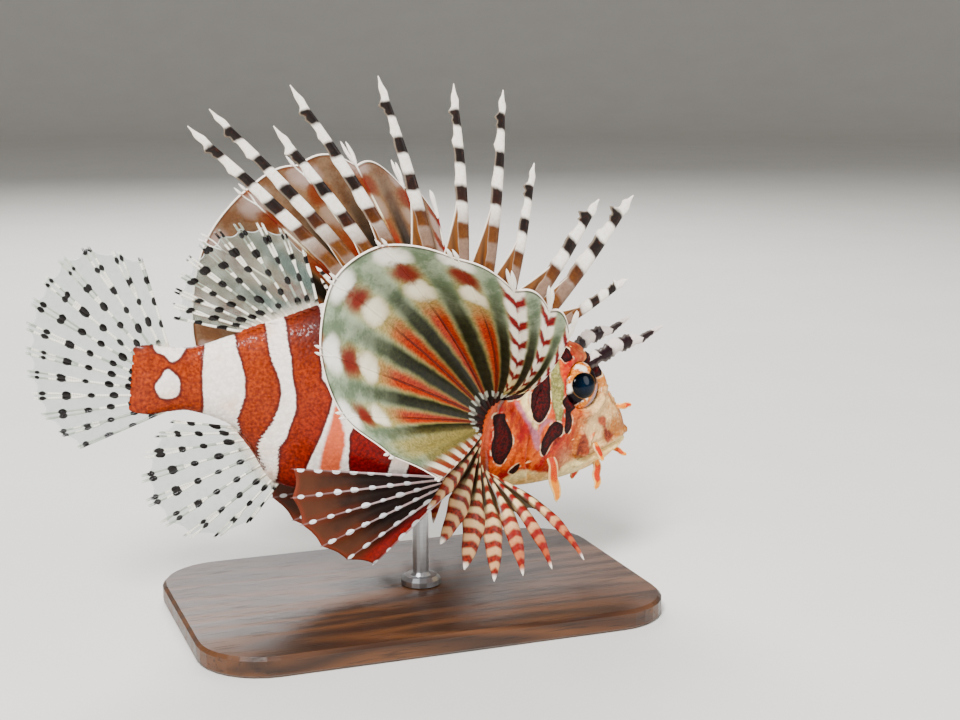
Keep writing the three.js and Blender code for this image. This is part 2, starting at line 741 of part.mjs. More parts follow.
function pelvicFin(side) {
  return fanFin({
    count: 6,
    root: (share) => onSkin(lerp(48, 54.6, share), lerp(-21.8, -18.4, share), side),
    direction: (share) => {
      const lean = RAD * lerp(226, 180, share);
      return heading(52, Math.cos(lean), side * 0.14, Math.sin(lean));
    },
    length: (share) => 28 + 12.5 * Math.sin(0.62 * Math.PI * share),
    steps: 5,
    free: 0.04,
    notch: 0.3,
    width: { root: 0.9, tip: 0.6 },
    half: { root: 0.7, tip: 0.3 },
    webHalf: 0.28,
    sunk: 2.5,
  });
}

addPart('pelvic_fin_right', rooted(pelvicFin(RIGHT)), 0x5a2218);
addPart('pelvic_fin_left', rooted(pelvicFin(LEFT)), 0x5a2218);

// The great breast fins: an upper fan of webbed rays and the freer rays below it
function breastRays(side, spec, { count, from, to, ...sizes }) {
  return fanFin({
    count,
    root: (share) => {
      const up = lerp(from, to, share);
      const curl = clamp((up - BREAST_ROOT.split) / (BREAST_ROOT.top - BREAST_ROOT.split), 0, 1) ** 2;
      return onSkin(BREAST_ROOT.at - BREAST_ROOT.curl * curl, up, side);
    },
    direction: (share) => {
      const lean = RAD * along(spec.lean, share);
      const flare = along(spec.flare, share);
      const flat = Math.sqrt(1 - flare * flare);
      return heading(46, flat * Math.cos(lean), side * flare, flat * Math.sin(lean));
    },
    length: (share) => along(spec.length, share),
    bow: (share) => heading(46, 0, side, 0.3)
      .multiplyScalar(BREAST_BOW)
      .addScaledVector(heading(46, 1, 0, 0), along(spec.ahead, share))
      .addScaledVector(heading(46, 0, 0, 1), along(spec.up, share)),
    webHalf: WEB_HALF,
    sunk: 2,
    ...sizes,
  });
}

for (const [name, { side, fan, lower }] of Object.entries(BREAST_FINS)) {
  const upperFan = breastRays(side, fan, {
    count: 10,
    from: BREAST_ROOT.top,
    to: BREAST_ROOT.split,
    steps: 7,
    free: 0.025,
    notch: 0.03,
    width: { root: 0.7, tip: 0.6 },
    half: { root: 0.6, tip: 0.3 },
  });
  const lowerRays = breastRays(side, lower, {
    count: 7,
    from: BREAST_ROOT.split - 1.9,
    to: BREAST_ROOT.bottom,
    steps: 3,
    free: 0.38,
    width: { root: 1, tip: 2.2 },
    half: { root: 0.8, tip: 0.35 },
  });
  addPart(`pectoral_fan_${name}`, rooted(upperFan), 0x8a5a3c);
  addPart(`pectoral_lower_${name}`, rooted(lowerRays), 0xb06a50);
}

// Leafy tentacles over the eyes, as steps ahead, sideways and up from their roots
const TENTACLE = { at: 17, up: 15.2, sides: 8, lobes: 2.5 };
const TENTACLE_PATH = [[-1.5, -1, -1.5], [2, 1, 2.5], [7, 1.5, 6.5], [12, 2, 9], [17.5, 2.5, 13.5]];

function tentacle(side) {
  const root = onSkin(TENTACLE.at, TENTACLE.up, side);
  const ahead = heading(TENTACLE.at, 1, 0, 0);
  const outward = heading(TENTACLE.at, 0, side, 0);
  const up = heading(TENTACLE.at, 0, 0, 1);
  const path = new THREE.CatmullRomCurve3(TENTACLE_PATH.map((step) => root.clone()
    .addScaledVector(ahead, step[0])
    .addScaledVector(outward, step[1])
    .addScaledVector(up, step[2])));
  const steps = 12;
  const rings = path.getPoints(steps).map((point, i) => {
    const share = i / steps;
    const run = path.getTangent(share);
    const across = up.clone().addScaledVector(run, -up.dot(run)).normalize();
    const face = new Vec().crossVectors(run, across);
    const lobes = 1 + 0.28 * Math.sin(share * TENTACLE.lobes * 2 * Math.PI);
    const wide = lerp(0.95, 1.5, smoothstep(share, 0, 0.6)) * lobes * (i === steps ? 0.4 : 1);
    const thick = lerp(0.8, 0.4, share);
    return spaced(0, TENTACLE.sides - 1, TENTACLE.sides - 1).map((k) => {
      const turn = (2 * Math.PI * k) / TENTACLE.sides;
      return point.clone()
        .addScaledVector(across, wide * Math.cos(turn))
        .addScaledVector(face, thick * Math.sin(turn));
    });
  });
  return lofted(rings);
}

for (const [name, side] of [['tentacle_right', RIGHT], ['tentacle_left', LEFT]]) {
  const around = joined([eyeBall(side, GAP).ball, orbitRim(side, GAP)]).add(headClearance);
  addPart(name, rooted(tentacle(side), around), 0x3a3038);
}

// The stand: a flat base with rounded corners and one short rod to the belly
function roundedPlate({ length, width, corner }) {
  const x = length / 2 - corner;
  const y = width / 2 - corner;
  const shape = new THREE.Shape();
  shape.absarc(x, y, corner, 0, Math.PI / 2);
  shape.absarc(-x, y, corner, Math.PI / 2, Math.PI);
  shape.absarc(-x, -y, corner, Math.PI, 1.5 * Math.PI);
  shape.absarc(x, -y, corner, 1.5 * Math.PI, 2 * Math.PI);
  return shape;
}

function standBase() {
  const inner = {
    length: BASE.length - 2 * BASE.bevel,
    width: BASE.width - 2 * BASE.bevel,
    corner: BASE.corner - BASE.bevel,
  };
  const plate = new THREE.ExtrudeGeometry(roundedPlate(inner), {
    depth: BASE.height - 2 * BASE.bevel,
    bevelThickness: BASE.bevel,
    bevelSize: BASE.bevel,
    bevelSegments: 1,
    curveSegments: 4,
  });
  return welded(plate.translate(0, 0, BASE.bevel));
}

function standRod() {
  const foot = place(ROD.at, 0, 0, 0);
  const bottom = BASE.height + GAP;
  const profile = [
    [0, bottom], [ROD.footRadius, bottom], [ROD.footRadius, bottom + ROD.footHeight * 0.6],
    [ROD.footRadius - 0.9, bottom + ROD.footHeight], [ROD.radius + 0.6, bottom + ROD.footHeight],
    [ROD.radius, bottom + ROD.footHeight + 0.8], [ROD.radius, AXIS_HEIGHT - 15], [0, AXIS_HEIGHT - 15],
  ].map(([radius, height]) => new THREE.Vector2(radius, height));
  const rod = new THREE.LatheGeometry(profile, 16).rotateX(Math.PI / 2);
  return welded(rod).translate(foot.x, foot.y, 0);
}

addPart('stand_base', standBase(), 0x1d1c1b, 0.45);
addPart('stand_rod', rooted(standRod()), 0xb9bcc0, 0.3, 1);

export default group;
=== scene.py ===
# %% [markdown]
# A zebra lionfish as a still, life-size model over a plain stand. This file dresses the
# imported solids: it keeps their places and sizes, and gives each its skin, scales, fins,
# eyes and paint. Everything stands in one frame, in metres, with +X towards the head,
# +Y to the fish's left and +Z up. Lengths below are written in millimetres, because a
# fish is drawn more easily that way, and turned to metres where a mesh is made.

import math

import bpy
import numpy as np
from mathutils import Matrix, Vector


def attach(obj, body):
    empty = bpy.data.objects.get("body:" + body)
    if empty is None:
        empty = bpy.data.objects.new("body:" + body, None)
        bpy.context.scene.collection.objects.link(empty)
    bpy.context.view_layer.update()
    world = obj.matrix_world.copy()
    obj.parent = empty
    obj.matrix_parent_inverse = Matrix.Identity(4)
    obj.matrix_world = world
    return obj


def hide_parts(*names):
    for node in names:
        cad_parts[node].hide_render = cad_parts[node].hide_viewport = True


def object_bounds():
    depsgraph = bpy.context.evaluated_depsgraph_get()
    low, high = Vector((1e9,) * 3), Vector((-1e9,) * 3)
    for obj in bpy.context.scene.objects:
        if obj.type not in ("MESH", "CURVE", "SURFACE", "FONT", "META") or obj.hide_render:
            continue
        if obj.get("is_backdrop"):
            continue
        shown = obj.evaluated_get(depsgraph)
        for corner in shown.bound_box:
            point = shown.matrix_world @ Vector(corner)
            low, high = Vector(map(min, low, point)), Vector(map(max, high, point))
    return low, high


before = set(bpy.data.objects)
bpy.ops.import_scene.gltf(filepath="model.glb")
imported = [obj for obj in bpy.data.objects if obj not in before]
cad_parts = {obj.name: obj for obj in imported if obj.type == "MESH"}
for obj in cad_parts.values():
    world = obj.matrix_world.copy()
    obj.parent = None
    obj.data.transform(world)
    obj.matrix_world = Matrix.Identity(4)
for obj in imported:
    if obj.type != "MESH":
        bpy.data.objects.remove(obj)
cad_low, cad_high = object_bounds()
MM = 0.001
print("solids reach", [round(v / MM, 1) for v in (*cad_low, *cad_high)])

# %% [markdown]
# The picture is taken from a little above the fish's right flank. The camera's place and
# turn were worked out from the snout, the tail stalk and the eye, so that the model
# stands in the frame where the fish does.

# %% Camera
CAMERA_PLACE = Vector((-0.120906, -0.372109, 0.137165))
CAMERA_AZIMUTH = math.radians(-20.59048)
CAMERA_ELEVATION = math.radians(10.81452)
LENS = 61
NEAREST = 0.01


def camera_turn(azimuth, elevation):
    """Right, up and back of a camera that looks at the model from this side."""
    right = Vector((math.cos(azimuth), math.sin(azimuth), 0))
    back = Vector((
        math.sin(azimuth) * math.cos(elevation),
        -math.cos(azimuth) * math.cos(elevation),
        math.sin(elevation),
    ))
    return Matrix((right, back.cross(right), back)).transposed()


def set_in_scene(name, data):
    """An object of this name with its mesh, lamp or camera, linked to the scene."""
    made = bpy.data.objects.new(name, data)
    bpy.context.collection.objects.link(made)
    return made


camera = set_in_scene("camera", bpy.data.cameras.new("camera"))
camera.data.lens = LENS
camera.data.clip_start = NEAREST
camera.matrix_world = Matrix.Translation(CAMERA_PLACE) @ camera_turn(
    CAMERA_AZIMUTH, CAMERA_ELEVATION).to_4x4()
bpy.context.scene.camera = camera
print("camera at", tuple(round(v, 3) for v in camera.location), "lens", LENS)

# %% [markdown]
# Materials and geometry trees are both graphs of nodes. One small class makes any node
# from its type, its settings and its sockets. Another wraps a socket, so that shader
# maths can be written as plain sums instead of boxes and wires.

# %% Node graphs in plain words


class Value:
    """A number in a graph. Sums on it add Math nodes."""

    def __init__(self, graph, socket):
        self.graph = graph
        self.socket = socket

    def maths(self, operation, *others):
        made = self.graph.node("ShaderNodeMath", {"operation": operation})
        for place, one in enumerate((self, *others)):
            self.graph.feed(made.inputs[place], one)
        return Value(self.graph, made.outputs[0])

    def __rsub__(self, other):
        return self * -1.0 + other

    def __rtruediv__(self, other):
        return self.maths("POWER", -1.0) * other

    def rise(self, start, end):
        """0 before start, 1 after end, and smooth between them."""
        made = self.graph.node(
            "ShaderNodeMapRange", {"interpolation_type": "SMOOTHSTEP"},
            {"Value": self, "From Min": min(start, end), "From Max": max(start, end)})
        up = Value(self.graph, made.outputs[0])
        return up if start < end else 1.0 - up


def maths_method(operation):
    return lambda self, *others: self.maths(operation, *others)


for word, operation in {
        "__add__": "ADD", "__radd__": "ADD", "__sub__": "SUBTRACT", "__mul__": "MULTIPLY",
        "__rmul__": "MULTIPLY", "__truediv__": "DIVIDE", "__pow__": "POWER", "__abs__": "ABSOLUTE",
        "low": "MINIMUM", "high": "MAXIMUM", "fraction": "FRACT", "floor": "FLOOR", "sine": "SINE",
}.items():
    setattr(Value, word, maths_method(operation))


class Graph:
    """A node tree that is built by one method."""

    def __init__(self, tree):
        self.tree = tree

    def feed(self, socket, given):
        """Links a value or an output to a socket, or sets a number or a colour on it."""
        if isinstance(given, Value):
            given = given.socket
        if isinstance(given, bpy.types.NodeSocket):
            self.tree.links.new(given, socket)
        elif socket.type == "RGBA":
            socket.default_value = (*(paint(given) if isinstance(given, str) else given), 1.0)
        else:
            socket.default_value = given

    def node(self, kind, settings=None, sockets=None):
        """A node of this type. Settings come first, because they change its sockets."""
        made = self.tree.nodes.new(kind)
        for name, setting in (settings or {}).items():
            setattr(made, name, setting)
        for name, given in (sockets or {}).items():
            socket = next(
                one for one in made.inputs
                if one.enabled and name in (one.identifier, one.name))
            self.feed(socket, given)
        return made

    def result(self, made, name=""):
        """A node's output by its name, or the first one that its settings leave on."""
        return next(
            one for one in made.outputs
            if one.enabled and name in (one.identifier, one.name, ""))


class Finish(Graph):
    """A material with one main shader, whose colours and bumps are worked out by nodes."""

    def __init__(self, name, **constants):
        self.material = bpy.data.materials.new(name)
        self.material.use_nodes = True
        super().__init__(self.material.node_tree)
        self.shader = self.tree.nodes["Principled BSDF"]
        self.put(**constants)
        self.place = self.node("ShaderNodeTexCoord").outputs["Object"]

    def put(self, **sockets):
        for socket, given in sockets.items():
            self.feed(self.shader.inputs[socket.replace("_", " ")], given)

    def number(self, name):
        """A number that the mesh carries at each of its points."""
        made = self.node("ShaderNodeAttribute", {"attribute_name": name})
        return Value(self, made.outputs["Fac"])

    def numbers(self, *names):
        return [self.number(name) for name in names]

    def noise(self, size, detail=2.0, seed=0.0, stretch=(1, 1, 1)):
        """Soft noise whose lumps are about this many millimetres wide, from 0 to 1."""
        moved = self.node("ShaderNodeMapping", None, {
            "Vector": self.place, "Location": (seed, seed * 0.7, -seed), "Scale": stretch})
        made = self.node("ShaderNodeTexNoise", None, {
            "Vector": moved.outputs[0], "Scale": 1 / (size * MM), "Detail": detail})
        return Value(self, made.outputs[0])

    def cells(self, size):
        """Distance to the nearest of scattered points about this many millimetres apart."""
        made = self.node("ShaderNodeTexVoronoi", None, {
            "Vector": self.place, "Scale": 1 / (size * MM)})
        return Value(self, made.outputs["Distance"])

    def chance(self, number):
        """A fixed random number from 0 to 1 for each whole number."""
        made = self.node("ShaderNodeTexWhiteNoise", {"noise_dimensions": "1D"}, {"W": number})
        return Value(self, made.outputs["Value"])

    def mix(self, share, under, over):
        """One colour laid over another by a share from 0 to 1."""
        made = self.node("ShaderNodeMix", {"data_type": "RGBA"}, {
            "Factor_Float": share, "A_Color": under, "B_Color": over})
        return self.result(made, "Result_Color")

    def flecks(self, noise, under, over, start=0.3, end=0.7):
        """Two colours in the soft spots of a noise."""
        return self.mix(noise.rise(start, end), under, over)

    def lay(self, share, over):
        """Lays a colour over what is painted so far, by a share from 0 to 1."""
        self.colour = self.mix(share, self.colour, over)

    def bump(self, height, distance):
        """Lays a height, as a share of a distance in millimetres, on the surface."""
        made = self.node("ShaderNodeBump", None, {"Height": height, "Distance": distance * MM})
        self.put(Normal=made.outputs["Normal"])

    def wear(self, **sockets):
        """Gives the shader the painted colour and these values, and hands over the material."""
        self.put(Base_Color=self.colour, **sockets)
        return self.material


RICHNESS = 1.18
FLESH = {"Coat_Roughness": 0.15, "Specular_IOR_Level": 0.12}
HORN = {"Coat_Roughness": 0.15, "Specular_IOR_Level": 0.2}


def paint(code):
    """A screen colour such as c8552c as the light values that Blender mixes, made richer."""
    channels = [int(code[i:i + 2], 16) / 255 for i in (0, 2, 4)]
    light = [c / 12.92 if c <= 0.04045 else ((c + 0.055) / 1.055) ** 2.4 for c in channels]
    grey = 0.3 * light[0] + 0.6 * light[1] + 0.1 * light[2]
    return tuple(max(grey + (c - grey) * RICHNESS, 0.0) for c in light)


print("an orange paint is", [round(c, 3) for c in paint("c8552c")])

# %% [markdown]
# The studio is a pale floor that curves up all round into a wall, so that no horizon
# cuts the picture from any side. A wide soft lamp over the camera's left shoulder does
# most of the work, and a lamp behind the fish shines through its fins.

# %% Floor, wall and lamps
FLOOR_RADIUS = 2.2
WALL_CURVE = 1.0
WALL_TOP = 3.0
CURVE_STEPS = 12
FLOOR_SIDES = 96


def smooth(mesh):
    mesh.polygons.foreach_set("use_smooth", [True] * len(mesh.polygons))


def studio():
    """A round floor that sweeps up into a wall, as rings of a lathe."""
    profile = [(FLOOR_RADIUS * 0.5, 0.0), (FLOOR_RADIUS, 0.0)]
    for step in range(1, CURVE_STEPS + 1):
        turn = step / CURVE_STEPS * math.pi / 2
        profile.append((FLOOR_RADIUS + WALL_CURVE * math.sin(turn),
                        WALL_CURVE * (1 - math.cos(turn))))
    profile.append((FLOOR_RADIUS + WALL_CURVE, WALL_TOP))
    points = []
    for radius, height in profile:
        for side in range(FLOOR_SIDES):
            turn = 2 * math.pi * side / FLOOR_SIDES
            points.append((radius * math.cos(turn), radius * math.sin(turn), height))
    faces = [tuple(range(FLOOR_SIDES))]
    for ring in range(0, len(points) - FLOOR_SIDES, FLOOR_SIDES):
        for side in range(FLOOR_SIDES):
            a, b = ring + side, ring + (side + 1) % FLOOR_SIDES
            faces.append((b, a, a + FLOOR_SIDES, b + FLOOR_SIDES))
    mesh = bpy.data.meshes.new("studio_floor")
    mesh.from_pydata(points, [], faces)
    smooth(mesh)
    return set_in_scene("studio_floor", mesh)


floor = studio()
card = Finish("pale_card", Roughness=0.85)
card.colour = card.mix(card.noise(60, 3), "d9d6d0", "e2e0db")
floor.data.materials.append(card.wear())
floor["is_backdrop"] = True

LAMPS = {
    "key_lamp": ((-0.45, -0.7, 0.85), 0.06, 0.36, 33),
    "side_lamp": ((0.75, -0.45, 0.35), 0.06, 0.5, 4),
    "back_lamp": ((0.1, 0.8, 0.75), 0.07, 0.6, 14),
}
for name, (stand, aim_height, size, power) in LAMPS.items():
    lamp = set_in_scene(name, bpy.data.lights.new(name, "AREA"))
    lamp.data.shape = "DISK"
    lamp.data.size = size
    lamp.data.energy = power
    lamp.location = stand
    aim = Vector((0, 0, aim_height)) - Vector(stand)
    lamp.rotation_euler = aim.to_track_quat("-Z", "Y").to_euler()

SKY_COLOUR, SKY_STRENGTH = (0.93, 0.95, 1.0, 1.0), 0.13
sky = bpy.data.worlds.new("studio_air")
sky.use_nodes = True
for socket, given in zip(sky.node_tree.nodes["Background"].inputs, (SKY_COLOUR, SKY_STRENGTH)):
    socket.default_value = given
bpy.context.scene.world = sky
print("a floor of", FLOOR_RADIUS, "m radius and", len(LAMPS), "lamps")

# %% [markdown]
# The body is drawn along a gently bent axis from the snout to the tail fin. Each place
# on the fish is given by its distance behind the snout and its steps ahead, to the left
# and up from the axis there. The same sizes shaped the solids, so both agree.

# %% The bent axis
STANDARD_LENGTH = 125.0
MIDDLE = 62.0
AXIS_HEIGHT = 54.0
YAW_TAIL, YAW_HEAD = -3.0, 7.0
PITCH_TAIL, PITCH_HEAD = 6.0, 15.0
BEND_START, BEND_SPAN = 0.15, 0.55
AXIS_STEP = 0.25
RIGHT, LEFT = -1, 1
SIDES = {"right": RIGHT, "left": LEFT}


def eased(share):
    share = np.clip(share, 0, 1)
    return share * share * (3 - 2 * share)


def arched(share):
    return np.sin(np.pi * np.clip(share, 0, 1))


def unit(ways):
    return ways / np.linalg.norm(ways, axis=-1, keepdims=True)


def directions(at):
    """Ahead, left and up of the fish at distances behind its snout."""
    tail = eased((np.asarray(at, float) / STANDARD_LENGTH - BEND_START) / BEND_SPAN)
    yaw = np.radians(YAW_HEAD + (YAW_TAIL - YAW_HEAD) * tail)
    pitch = np.radians(PITCH_HEAD + (PITCH_TAIL - PITCH_HEAD) * tail)
    ahead = np.stack([
        np.cos(yaw) * np.cos(pitch), np.sin(yaw) * np.cos(pitch), -np.sin(pitch)], -1)
    left = np.stack([-np.sin(yaw), np.cos(yaw), 0 * yaw], -1)
    return ahead, left, np.cross(ahead, left)


axis_stops = np.arange(0, STANDARD_LENGTH + AXIS_STEP / 2, AXIS_STEP)
axis_line = np.zeros((len(axis_stops), 3))
axis_line[1:] = np.cumsum(-AXIS_STEP * directions(axis_stops[:-1] + AXIS_STEP / 2)[0], 0)
axis_line += (0, 0, AXIS_HEIGHT) - axis_line[int(MIDDLE / AXIS_STEP)]


def place(at, ahead=0.0, left=0.0, up=0.0):
    """Points of the fish, in millimetres."""
    at, ahead, left, up = np.broadcast_arrays(
        *(np.asarray(v, float) for v in (at, ahead, left, up)))
    ways = directions(at)
    inside = np.clip(at, 0, STANDARD_LENGTH)
    on_axis = np.stack([np.interp(inside, axis_stops, axis_line[:, k]) for k in range(3)], -1)
    return (on_axis + ways[0] * (inside - at + ahead)[..., None]
            + ways[1] * left[..., None] + ways[2] * up[..., None])


def heading(at, ahead, left, up):
    """A unit direction given by its parts ahead, left and up."""
    return unit(place(at, ahead, left, up) - place(at))


print("snout", place(0.0).round(1), "tail", place(STANDARD_LENGTH).round(1))

# %% [markdown]
# The trunk's outline is a list of stations, each with its upper edge, lower edge and
# half breadth, joined by a smooth curve. A cross-section is a little fuller than an
# ellipse, as in a real fish of this kind.

# %% Stations of the body
STATIONS = np.array([
    (0, 1.2, -4, 2.8), (3, 5.4, -8.4, 5.2), (8, 9.6, -12, 7.2), (13, 14.6, -14.6, 8.6),
    (19, 18.8, -17, 9.8), (27, 20.4, -19.4, 11), (35, 22.6, -20.6, 12.2), (45, 25, -22.6, 12.8),
    (60, 25.2, -24.6, 11.8), (72, 23, -25.6, 10.2), (85, 20.4, -25, 8), (94, 16.8, -22.4, 6.2),
    (100, 14.6, -14.6, 5.2), (105, 12.6, -9.6, 4.4), (115, 8.8, -6.4, 3.2),
    (121, 8.4, -7, 2.6), (125, 8.8, -7.8, 1.9),
], float)
TOP, BOTTOM, HALF = 1, 2, 3
ROUNDNESS = 2.2
SWELLINGS = [
    (19, 15, 5, 1), (7, 5, 3.5, 0.6), (24, 1, 4, 0.7), (30, -6, 6, 0.7),
    (33, -1, 3.5, 0.5), (41, -3, 7, 0.9), (40, -14, 6, 0.8),
]


def station(at, size):
    """A smooth curve through one size of the stations."""
    stops, sizes = STATIONS[:, 0], STATIONS[:, size]
    before = np.clip(np.arange(len(stops)) - 1, 0, None)
    after = np.clip(np.arange(len(stops)) + 1, None, len(stops) - 1)
    slopes = (sizes[after] - sizes[before]) / (stops[after] - stops[before])
    i = np.clip(np.searchsorted(stops, at, side="left") - 1, 0, len(stops) - 2)
    span = stops[i + 1] - stops[i]
    t = np.clip((at - stops[i]) / span, 0, 1)
    rest = 1 - t
    return (sizes[i] * (1 + 2 * t) * rest**2 + sizes[i + 1] * t**2 * (3 - 2 * t)
            + span * (slopes[i] * t * rest**2 - slopes[i + 1] * t**2 * rest))


def breadth(at, up):
    """Half the body's breadth at a height above or below its axis."""
    at, up = np.asarray(at, float), np.asarray(up, float)
    reach = np.where(up > 0, station(at, TOP), -station(at, BOTTOM))
    share = np.clip(np.abs(up) / reach, 0, 1)
    return station(at, HALF) * (1 - share**ROUNDNESS) ** (1 / ROUNDNESS)


def on_skin(at, up, side, depth=0.0):
    return place(at, 0, side * (breadth(at, up) - depth), up)


def swelling(at, up):
    rise = 0
    for bump_at, bump_up, reach, height in SWELLINGS:
        rise = rise + height * np.exp(-((at - bump_at) ** 2 + (up - bump_up) ** 2) / reach**2)
    return rise


def section(at, turn):
    """Share across, height and steps to the left of the body's skin at a turn round it."""
    across, rise = (np.sign(way) * np.abs(way) ** (2 / ROUNDNESS)
                    for way in (np.cos(turn), np.sin(turn)))
    up = np.where(rise > 0, station(at, TOP), -station(at, BOTTOM)) * rise
    return across, up, (station(at, HALF) + swelling(at, up) * np.abs(across)) * across


print("deepest", round(float(station(72, TOP) - station(72, BOTTOM)), 1), "mm at 72 mm")

# %% [markdown]
# Everything here ends as a mesh with its place in its points. One helper turns arrays of
# points and faces into an object that carries its own numbers for the paint. Two others
# make closed forms: a thin sheet from a grid of points, and a capped tube from rings.

# %% Mesh helpers


def carry(mesh, kind="FLOAT", **numbers):
    """Stores numbers or vectors at a mesh's points, for its paint and what grows on it."""
    for label, given in numbers.items():
        layer = mesh.attributes.get(label) or mesh.attributes.new(label, kind, "POINT")
        layer.data.foreach_set("value" if kind == "FLOAT" else "vector",
                               np.asarray(given, np.float32).ravel())


def lay_flat(mesh, name, uv):
    """Gives the points of a mesh their places on a flat map."""
    corners = np.zeros(len(mesh.loops), np.int32)
    mesh.loops.foreach_get("vertex_index", corners)
    mesh.uv_layers.new(name=name).data.foreach_set("uv", uv.astype(np.float32)[corners].ravel())


def make_piece(name, points, faces, numbers=None, finish=None):
    """An object from points in millimetres, with smooth faces and numbers on its points."""
    mesh = bpy.data.meshes.new(name)
    mesh.from_pydata((np.asarray(points) * MM).tolist(), [], [list(map(int, f)) for f in faces])
    smooth(mesh)
    carry(mesh, **(numbers or {}))
    if finish is not None:
        mesh.materials.append(finish)
    return set_in_scene(name, mesh)


def dress(piece, slot, *nodes):
    """Hangs a finished piece on the root, hides the solids it stands for and counts its triangles.
    The slot is not used.
    """
    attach(piece, "root")
    if nodes:
        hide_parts(*nodes)
    return sum(len(p.vertices) - 2 for p in piece.data.polygons)


def grid_faces(rows, columns, ring=False):
    """Quads between neighbouring points of a grid, closed round its columns if a ring."""
    last = columns if ring else columns - 1
    r, c = np.meshgrid(np.arange(rows - 1), np.arange(last), indexing="ij")
    a, b = r * columns + c, r * columns + (c + 1) % columns
    return np.stack([a, b, b + columns, a + columns], -1).reshape(-1, 4)


def grid_normals(grid):
    down, across = np.gradient(grid, axis=0), np.gradient(grid, axis=1)
    normal = np.cross(across, down)
    return normal / np.maximum(np.linalg.norm(normal, axis=-1, keepdims=True), 1e-9)


def volume_of(points, faces):
    a, b, c = (points[np.array([f[k] for f in faces])] for k in (0, 1, 2))
    total = np.einsum("ij,ij->i", a, np.cross(b, c)).sum()
    fours = np.array([f for f in faces if len(f) == 4])
    if len(fours):
        a, b, c = (points[fours[:, k]] for k in (0, 2, 3))
        total += np.einsum("ij,ij->i", a, np.cross(b, c)).sum()
    return total / 6


def outward(points, faces):
    """The same closed faces, turned round if they point inwards."""
    return faces if volume_of(points, faces) > 0 else [tuple(f)[::-1] for f in faces]


def thin_sheet(grid, half, numbers):
    """A grid of points as a closed sheet, half a thickness to each side of it."""
    rows, columns = grid.shape[:2]
    shift = grid_normals(grid) * np.broadcast_to(half, (rows, columns))[..., None]
    points = np.concatenate([(grid + shift).reshape(-1, 3), (grid - shift).reshape(-1, 3)])
    count = rows * columns
    front = grid_faces(rows, columns)
    faces = [tuple(f) for f in front] + [tuple(f[::-1] + count) for f in front]
    index = np.arange(count).reshape(rows, columns)
    rim = np.concatenate([index[0, :-1], index[:-1, -1], index[-1, :0:-1], index[:0:-1, 0]])
    for a, b in zip(rim, np.roll(rim, -1)):
        faces.append((b, a, a + count, b + count))
    twice = {label: np.tile(given.ravel(), 2) for label, given in numbers.items()}
    return points, outward(points, faces), twice


def capped(rings, numbers):
    """Rings of points as a closed tube with a fan over each end."""
    rows, sides = rings.shape[:2]
    points = np.concatenate([rings.reshape(-1, 3), [rings[0].mean(0), rings[-1].mean(0)]])
    faces = [tuple(f) for f in grid_faces(rows, sides, ring=True)]
    for i in range(sides):
        j = (i + 1) % sides
        faces.append((j, i, rows * sides))
        faces.append(((rows - 1) * sides + i, (rows - 1) * sides + j, rows * sides + 1))
    numbers = {label: np.append(given, given[[0, -1], 0]) for label, given in numbers.items()}
    return points, outward(points, faces), numbers


class Parts:
    """Gathers closed forms with their numbers, to become one piece."""

    def __init__(self):
        self.points, self.faces, self.numbers, self.count = [], [], {}, 0

    def add(self, points, faces, numbers):
        self.faces += [tuple(int(i) + self.count for i in f) for f in faces]
        self.points.append(points)
        for label, given in numbers.items():
            self.numbers.setdefault(label, []).append(given)
        self.count += len(points)

    def piece(self, name, finish):
        numbers = {label: np.concatenate(lists) for label, lists in self.numbers.items()}
        return make_piece(name, np.concatenate(self.points), self.faces, numbers, finish)


print("a sheet of 3 by 4 points has", len(thin_sheet(np.zeros((3, 4, 3)), 0.1, {})[1]), "faces")

# %% [markdown]
# The colours lie in patches with firm edges: dark bars with white between them on the
# trunk, and a mask of maroon, olive and orange on the head. Each patch is an outline in
# the fish's own side view. A point stores how far inside each patch it lies, so that the
# paint can draw a crisp or ragged edge at any size.

# %% Patches of colour
BAR_EDGES = [
    ([(99.5, 19), (98.5, 11.4), (98, 8.7), (96.9, 5.6), (95.3, 2.4), (94.9, -0.4), (95.3, -4.4),
      (96.3, -7.9), (98.2, -11.1), (98.9, -13.8), (98, -17.3), (96.5, -19.5), (94.3, -26)],
     [(106, 19), (105.8, 9.9), (104.6, 6.9), (103.4, 2.7), (103.1, -1.6), (103.7, -5.1),
      (104.3, -7.7), (103.1, -11.1), (101, -16), (99, -26)]),
    ([(86.5, 26), (86.2, 10), (85.8, 4.1), (83, 0.5), (83.3, -3.9), (84.4, -8.4),
      (85.6, -12.5), (86.6, -16.2), (87.2, -18.3), (88.5, -29)],
     [(94.8, 26), (94.2, 12.7), (93.2, 8.7), (92.4, 3.5), (91.4, -0.2), (91.1, -4),
      (92.1, -8.1), (92.9, -11.6), (94.1, -13.7), (93.9, -16.8), (93.6, -19.4), (93.2, -29)]),
    ([(68, 28), (67, 14), (68.5, 2), (67, -12), (68, -29)],
     [(80, 28), (79, 12), (77.6, 0), (77.5, -7.4), (78.2, -9.9), (77.6, -14.5), (77, -18),
      (77, -29)]),
    ([(54.6, 28), (55.5, 12), (54, 0), (55, -14), (54.6, -29)],
     [(63.6, 28), (62.5, 14), (63.8, 2), (62.4, -10), (63, -29)]),
    ([(46, 28), (46.6, 12), (45.8, 0), (46.6, -14), (46, -29)],
     [(51.4, 28), (51, 14), (51.8, 0), (50.6, -12), (51, -29)]),
    ([(112.6, 12), (113.2, 6.2), (113.2, 2.5), (113, -0.8), (112.3, -4.2), (112, -11)],
     [(128, 12), (128, -11)]),
]
